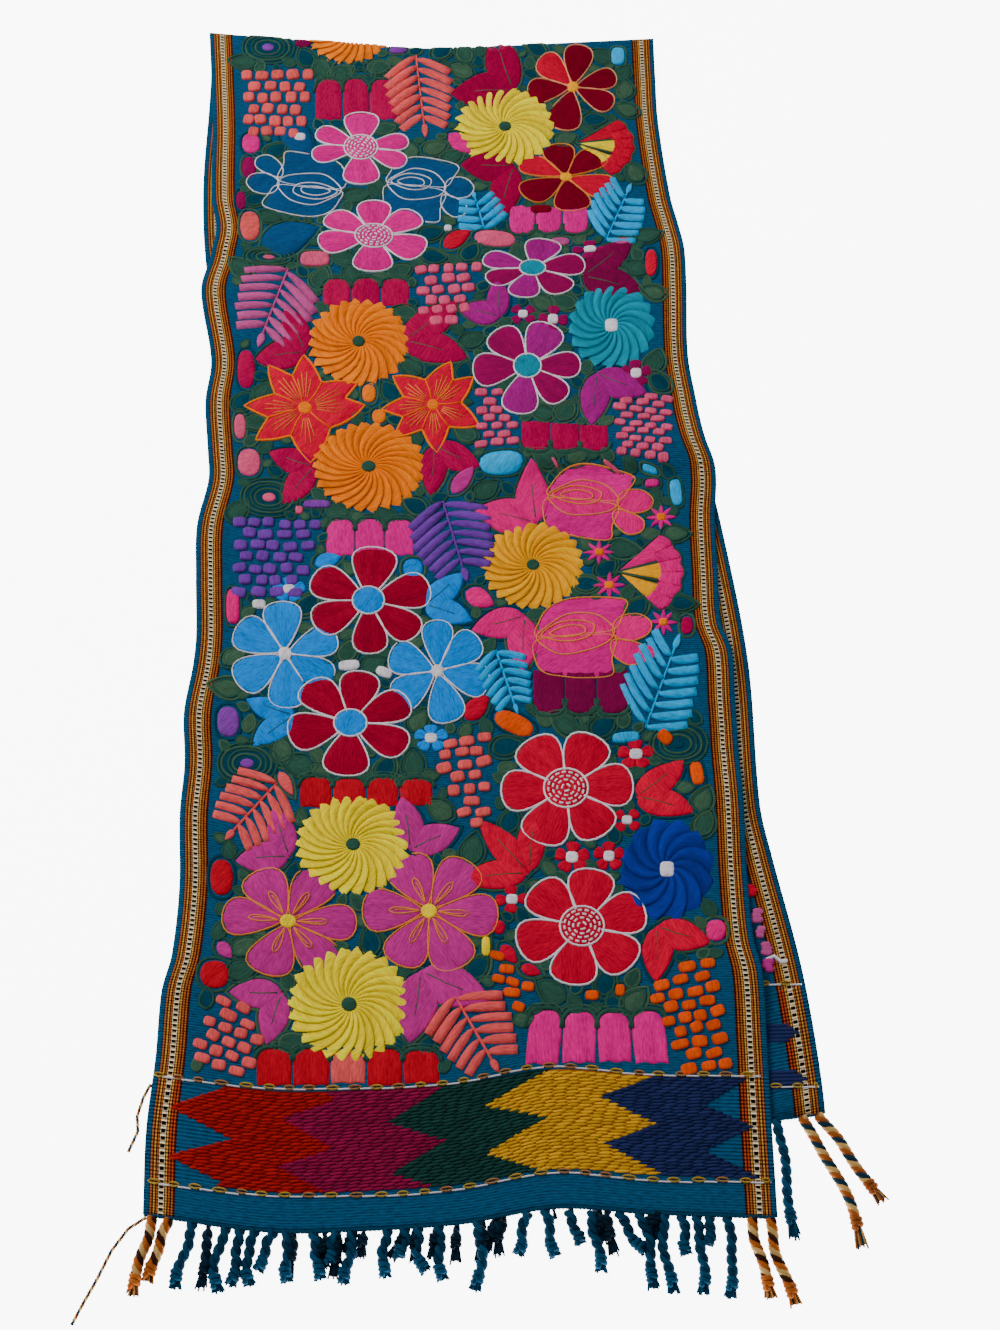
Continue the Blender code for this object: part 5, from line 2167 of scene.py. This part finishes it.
    def route(self, strand: Strand, back: bool, number: int = 40) -> np.ndarray:
        """Middle line of a strand that drops from its hem and lies on the floor.

        Args:
            strand: the strand.
            back: whether it hangs from the back hem.
            number: number of points.

        Returns:
            The points, in millimetres.
        """
        root = self.root_point(back, strand.root)
        step = np.linspace(0.0, 1.0, number)
        x = root[0] + (strand.tip - root[0]) * step + strand.bow * np.sin(math.pi * step)
        x = x + 1.1 * np.sin(step * 8.0 + strand.root) * smooth(step * 3.0)
        y = root[1] + (strand.reach - root[1]) * step
        lying = smooth((root[1] - y) / self.strand_landing)
        below = back and strand.root < self.covered_to
        floor = self.strand_floor + (self.rise_below if below else self.rise)
        z = np.maximum(floor, root[2] + (floor - root[2]) * lying)
        return np.column_stack((x, y, z))

    def length(self, route: np.ndarray) -> np.ndarray:
        """Distance down a route at each of its points."""
        steps = np.linalg.norm(np.diff(route, axis=0), axis=1)
        return np.concatenate(((0.0,), np.cumsum(steps)))

    def ply(self, route: np.ndarray, colours: Sequence[str], radius: float, offset: float,
            twist: float, clear: float | None = None) -> None:
        """Twist plies round a route; before the place "clear" they are thin and lie low.

        Args:
            route: points of the middle line.
            colours: sRGB hex colour of each ply.
            radius: radius of a ply.
            offset: distance of the plies from the middle line.
            twist: length of one turn.
            clear: place along the cloth where it leaves cover.
        """
        down = self.length(route)
        places = np.arange(0.0, down[-1], 0.9)
        line = np.column_stack([np.interp(places, down, route[:, axis]) for axis in range(3)])
        aside, up = self.sideways(line)
        full = np.ones(len(places))
        if clear is not None:
            full = 0.5 + 0.5 * smooth((clear - line[:, 1]) / 6.0)
            line[:, 2] += 2.2 * (full - 0.5)
        for number, colour in enumerate(colours):
            angle = places / twist * 2.0 * math.pi + number * 2.0 * math.pi / len(colours)
            swing = aside * np.cos(angle)[:, None] + up * np.sin(angle)[:, None]
            self.tube(line + swing * (offset * full)[:, None], radius * full, colour)

    def knot(self, centre: np.ndarray, forward: np.ndarray, colour: str, size: float) -> None:
        """A round overhand knot: two turns wrapped over the strand.

        Args:
            centre: its middle.
            forward: direction of the strand.
            colour: sRGB hex colour.
            size: its width.
        """
        forward = forward / max(float(np.linalg.norm(forward)), 1e-9)
        aside = np.cross(forward, (0.0, 0.0, 1.0))
        aside = aside / max(float(np.linalg.norm(aside)), 1e-9)
        up = np.cross(aside, forward)
        angle = np.linspace(0.0, 4.4 * math.pi, 34)
        shift = (angle / angle[-1] - 0.5) * size * 1.3
        radius = size * 0.52
        line = (centre + forward * shift[:, None]
                + (aside * np.cos(angle)[:, None] + up * np.sin(angle)[:, None]) * radius)
        self.tube(line, np.full(len(line), size * 0.34), colour)

    def tuft(self, tip: np.ndarray, forward: np.ndarray, colours: Sequence[str],
             size: float, length: float) -> None:
        """Loose cut ends beyond a knot.

        Args:
            tip: where they start.
            forward: direction of the strand.
            colours: sRGB hex colours, used in turn.
            size: how far they spread.
            length: their length.
        """
        forward = forward / max(float(np.linalg.norm(forward)), 1e-9)
        aside = np.cross(forward, (0.0, 0.0, 1.0))
        for number in range(7):
            spread = (number - 3.0) / 3.0
            step = np.linspace(0.0, 1.0, 5)[:, None]
            reach = length * self.random.uniform(0.75, 1.05)
            lean = aside * spread * size * 0.8
            line = tip + forward * step * reach + lean * (0.3 + 0.7 * step ** 0.7)
            line[:, 2] = np.maximum(line[:, 2] - step[:, 0] * 0.8
                                    + self.random.uniform(-0.4, 0.5), 0.5)
            taper = np.linspace(0.55, 0.3, 5) * size / 2.2
            self.tube(line, taper, colours[number % len(colours)], 5)

    def strand(self, strand: Strand, back: bool, colours: Sequence[str],
               knotted: bool = True) -> None:
        """One strand: two plies, a knot and a tuft.

        Args:
            strand: the strand.
            back: whether it hangs from the back hem.
            colours: sRGB hex colours of its plies.
            knotted: whether it has its knot and tuft.
        """
        route = self.route(strand, back)
        if not knotted:
            self.ply(route, colours, 0.8, 0.5, self.twist_length)
            return
        stop = int(len(route) * (self.knot_step + 0.03))
        below = back and strand.root < self.covered_to
        share = 0.9 if below else 1.0
        clear = float(self.drape.hem_at(strand.root)) - 1.0 if below else None
        self.ply(route[:stop], colours, self.ply_radius, self.ply_offset, self.twist_length, clear)
        middle = route[int(len(route) * self.knot_step)].copy()
        middle[2] = max(middle[2], self.knot_rise * share)
        forward = route[stop] - route[stop - 3]
        self.knot(middle, forward, colours[0], self.knot_size * share)
        self.tuft(route[stop], forward, colours, self.tuft_size * share,
                  self.length(route)[-1] * self.tuft_share)

    def hem_cord(self, back: bool, colour: str) -> None:
        """The hem's last weft, a thin cord that the strands hang from.

        Args:
            back: whether it is the back hem's.
            colour: sRGB hex colour.
        """
        line = self.hem_line(back, np.linspace(-0.995, 0.995, 160))
        route = line - (0.0, 0.2, self.drape.thickness / 2.0)
        self.ply(route, (colour, colour), 0.85, 0.4, 5.0)

    def piece(self, name: str, node: str, finish: bpy.types.Material) -> bpy.types.Object:
        """Turn what was collected into one piece that stands for a node.

        Args:
            name: the piece's name.
            node: the node that it replaces.
            finish: its material.

        Returns:
            The new object.
        """
        points = np.concatenate(self.points) * MM
        points[:, 1] -= Drape.hem_to_origin * MM
        made = make_mesh(name, points, self.faces, finish, tints=np.concatenate(self.tints))
        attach(made, BODY)
        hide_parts(node)
        self.points, self.tints, self.faces, self.count = [], [], [], 0
        return made

    def build(self, finish: bpy.types.Material) -> list[bpy.types.Object]:
        """Make both fringes.

        Args:
            finish: material of the yarn.

        Returns:
            The pieces.
        """
        for strand in self.front:
            at_border = strand.root < -165 or strand.root > 170
            self.strand(strand, False, self.mixed if at_border else self.teal)
        for tail in self.tails:
            route = np.array([(x, along, 1.3) for x, along in tail], float)
            self.ply(route, self.braid, 0.55, 0.6, 6.0)
        self.hem_cord(False, self.teal[0])
        pieces = [self.piece("front_fringe", "fringe_front", finish)]
        for strand in self.showing:
            beside = self.dull if strand.root > 200.0 else self.teal
            self.strand(strand, True, beside if strand.root > self.covered_to else self.shaded)
        for strand in self.tangle:
            self.strand(strand, True, self.shaded)
        across = 2.0 * (np.arange(self.back_strands) + 0.5) / self.back_strands - 1.0
        hem = self.drape.cross.read("back_hem", across)
        roots = self.drape.edge_point(self.drape.lower, across, hem)
        for number, root in enumerate(roots):
            tip = root - 1.5 + 1.5 * math.sin(number * 2.3)
            if all(abs(tip - other.root) > self.strand_room
                   for other in self.showing + self.tangle):
                hidden = Strand(float(root), tip, self.back_tip + 4.0 * math.sin(number * 1.7), 0)
                self.strand(hidden, True, self.shaded, False)
        self.hem_cord(True, self.teal[0])
        pieces.append(self.piece("back_fringe", "fringe_back", finish))
        return pieces


@dataclass
class Studio:
    """Pale floor and soft light, strongest from the upper left."""

    floor_size: float = 7.0
    floor_colour: str = "F6F7F8"
    floor_glow: float = 9.0
    sky_colour: tuple[float, ...] = (0.93, 0.96, 1.0, 1.0)
    sky_strength: float = 0.31

    def build(self) -> None:
        """Make the floor and the lights."""
        material, tree, shader = start_material("pale_floor")
        noise = add_node(tree, "ShaderNodeTexNoise", inputs={"Scale": 3.0, "Detail": 2.0})
        tone = add_node(tree, "ShaderNodeMapRange",
                        inputs={0: noise.outputs[0], 3: 0.98, 4: 1.0})
        colour = add_node(tree, "ShaderNodeVectorMath", {"operation": "SCALE"},
                          {0: linear(self.floor_colour)[:3], "Scale": tone.outputs[0]})
        set_inputs(tree, shader, {"Base Color": colour.outputs[0], "Roughness": 0.9,
                                  "Emission Color": linear(self.floor_colour),
                                  "Emission Strength": self.floor_glow})
        half = self.floor_size / 2.0
        corners = np.array(((-half, -half, 0.0), (half, -half, 0.0), (half, half, 0.0),
                            (-half, half, 0.0)))
        floor = make_mesh("floor", corners, [(0, 1, 2, 3)], material)
        world = bpy.data.worlds.new("studio")
        world.use_nodes = True
        backdrop = world.node_tree.nodes["Background"]
        backdrop.inputs["Color"].default_value = self.sky_colour
        backdrop.inputs["Strength"].default_value = self.sky_strength
        bpy.context.scene.world = world
        self.lamp("key_light", (-1.1, 0.9, 1.6), size=0.9, power=39.5)
        self.lamp("fill_light", (0.9, -1.3, 2.0), size=2.0, power=6.5)

    @staticmethod
    def lamp(name: str, place: tuple[float, float, float], size: float, power: float) -> None:
        """Add a square soft light that faces the runner.

        Args:
            name: the light's name.
            place: where it hangs, in metres.
            size: length of its side, in metres.
            power: its power, in watts.
        """
        data = bpy.data.lights.new(name, "AREA")
        data.size = size
        data.energy = power
        lamp = bpy.data.objects.new(name, data)
        lamp.location = place
        lamp.rotation_mode = "QUATERNION"
        lamp.rotation_quaternion = (-Vector(place)).to_track_quat("-Z", "Y")
        bpy.context.scene.collection.objects.link(lamp)


def main() -> None:
    """Build the runner, its stitching and fringe, and the studio."""
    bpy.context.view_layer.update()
    camera = PhotoCamera()
    camera.build()
    drape = Drape()
    cloth = RunnerCloth(drape).build(WovenCotton().build())
    satin = DyedThread("satin_stitch", pitch_mm=1.1, run_mm=5.0, dark=0.6, light=1.3,
                       bump_mm=0.6).build()
    twisted = DyedThread("twisted_thread", pitch_mm=0.9, run_mm=2.2, dark=0.8, light=1.15,
                         bump_mm=0.3, slant=0.7).build()
    darned = DyedThread("darning_stitch", pitch_mm=0.8, run_mm=5.0, dark=0.7, light=1.2,
                        bump_mm=0.4).build()
    yarn = DyedThread("plied_yarn", pitch_mm=0.8, run_mm=2.0, dark=0.75, light=1.2,
                      bump_mm=0.3).build()
    pieces = Embroidery(drape, camera).build(satin, twisted)
    pieces += SewnBands(drape).build(darned, twisted)
    pieces += Fringe(drape).build(yarn)
    Studio().build()


if __name__ == "__main__":
    main()
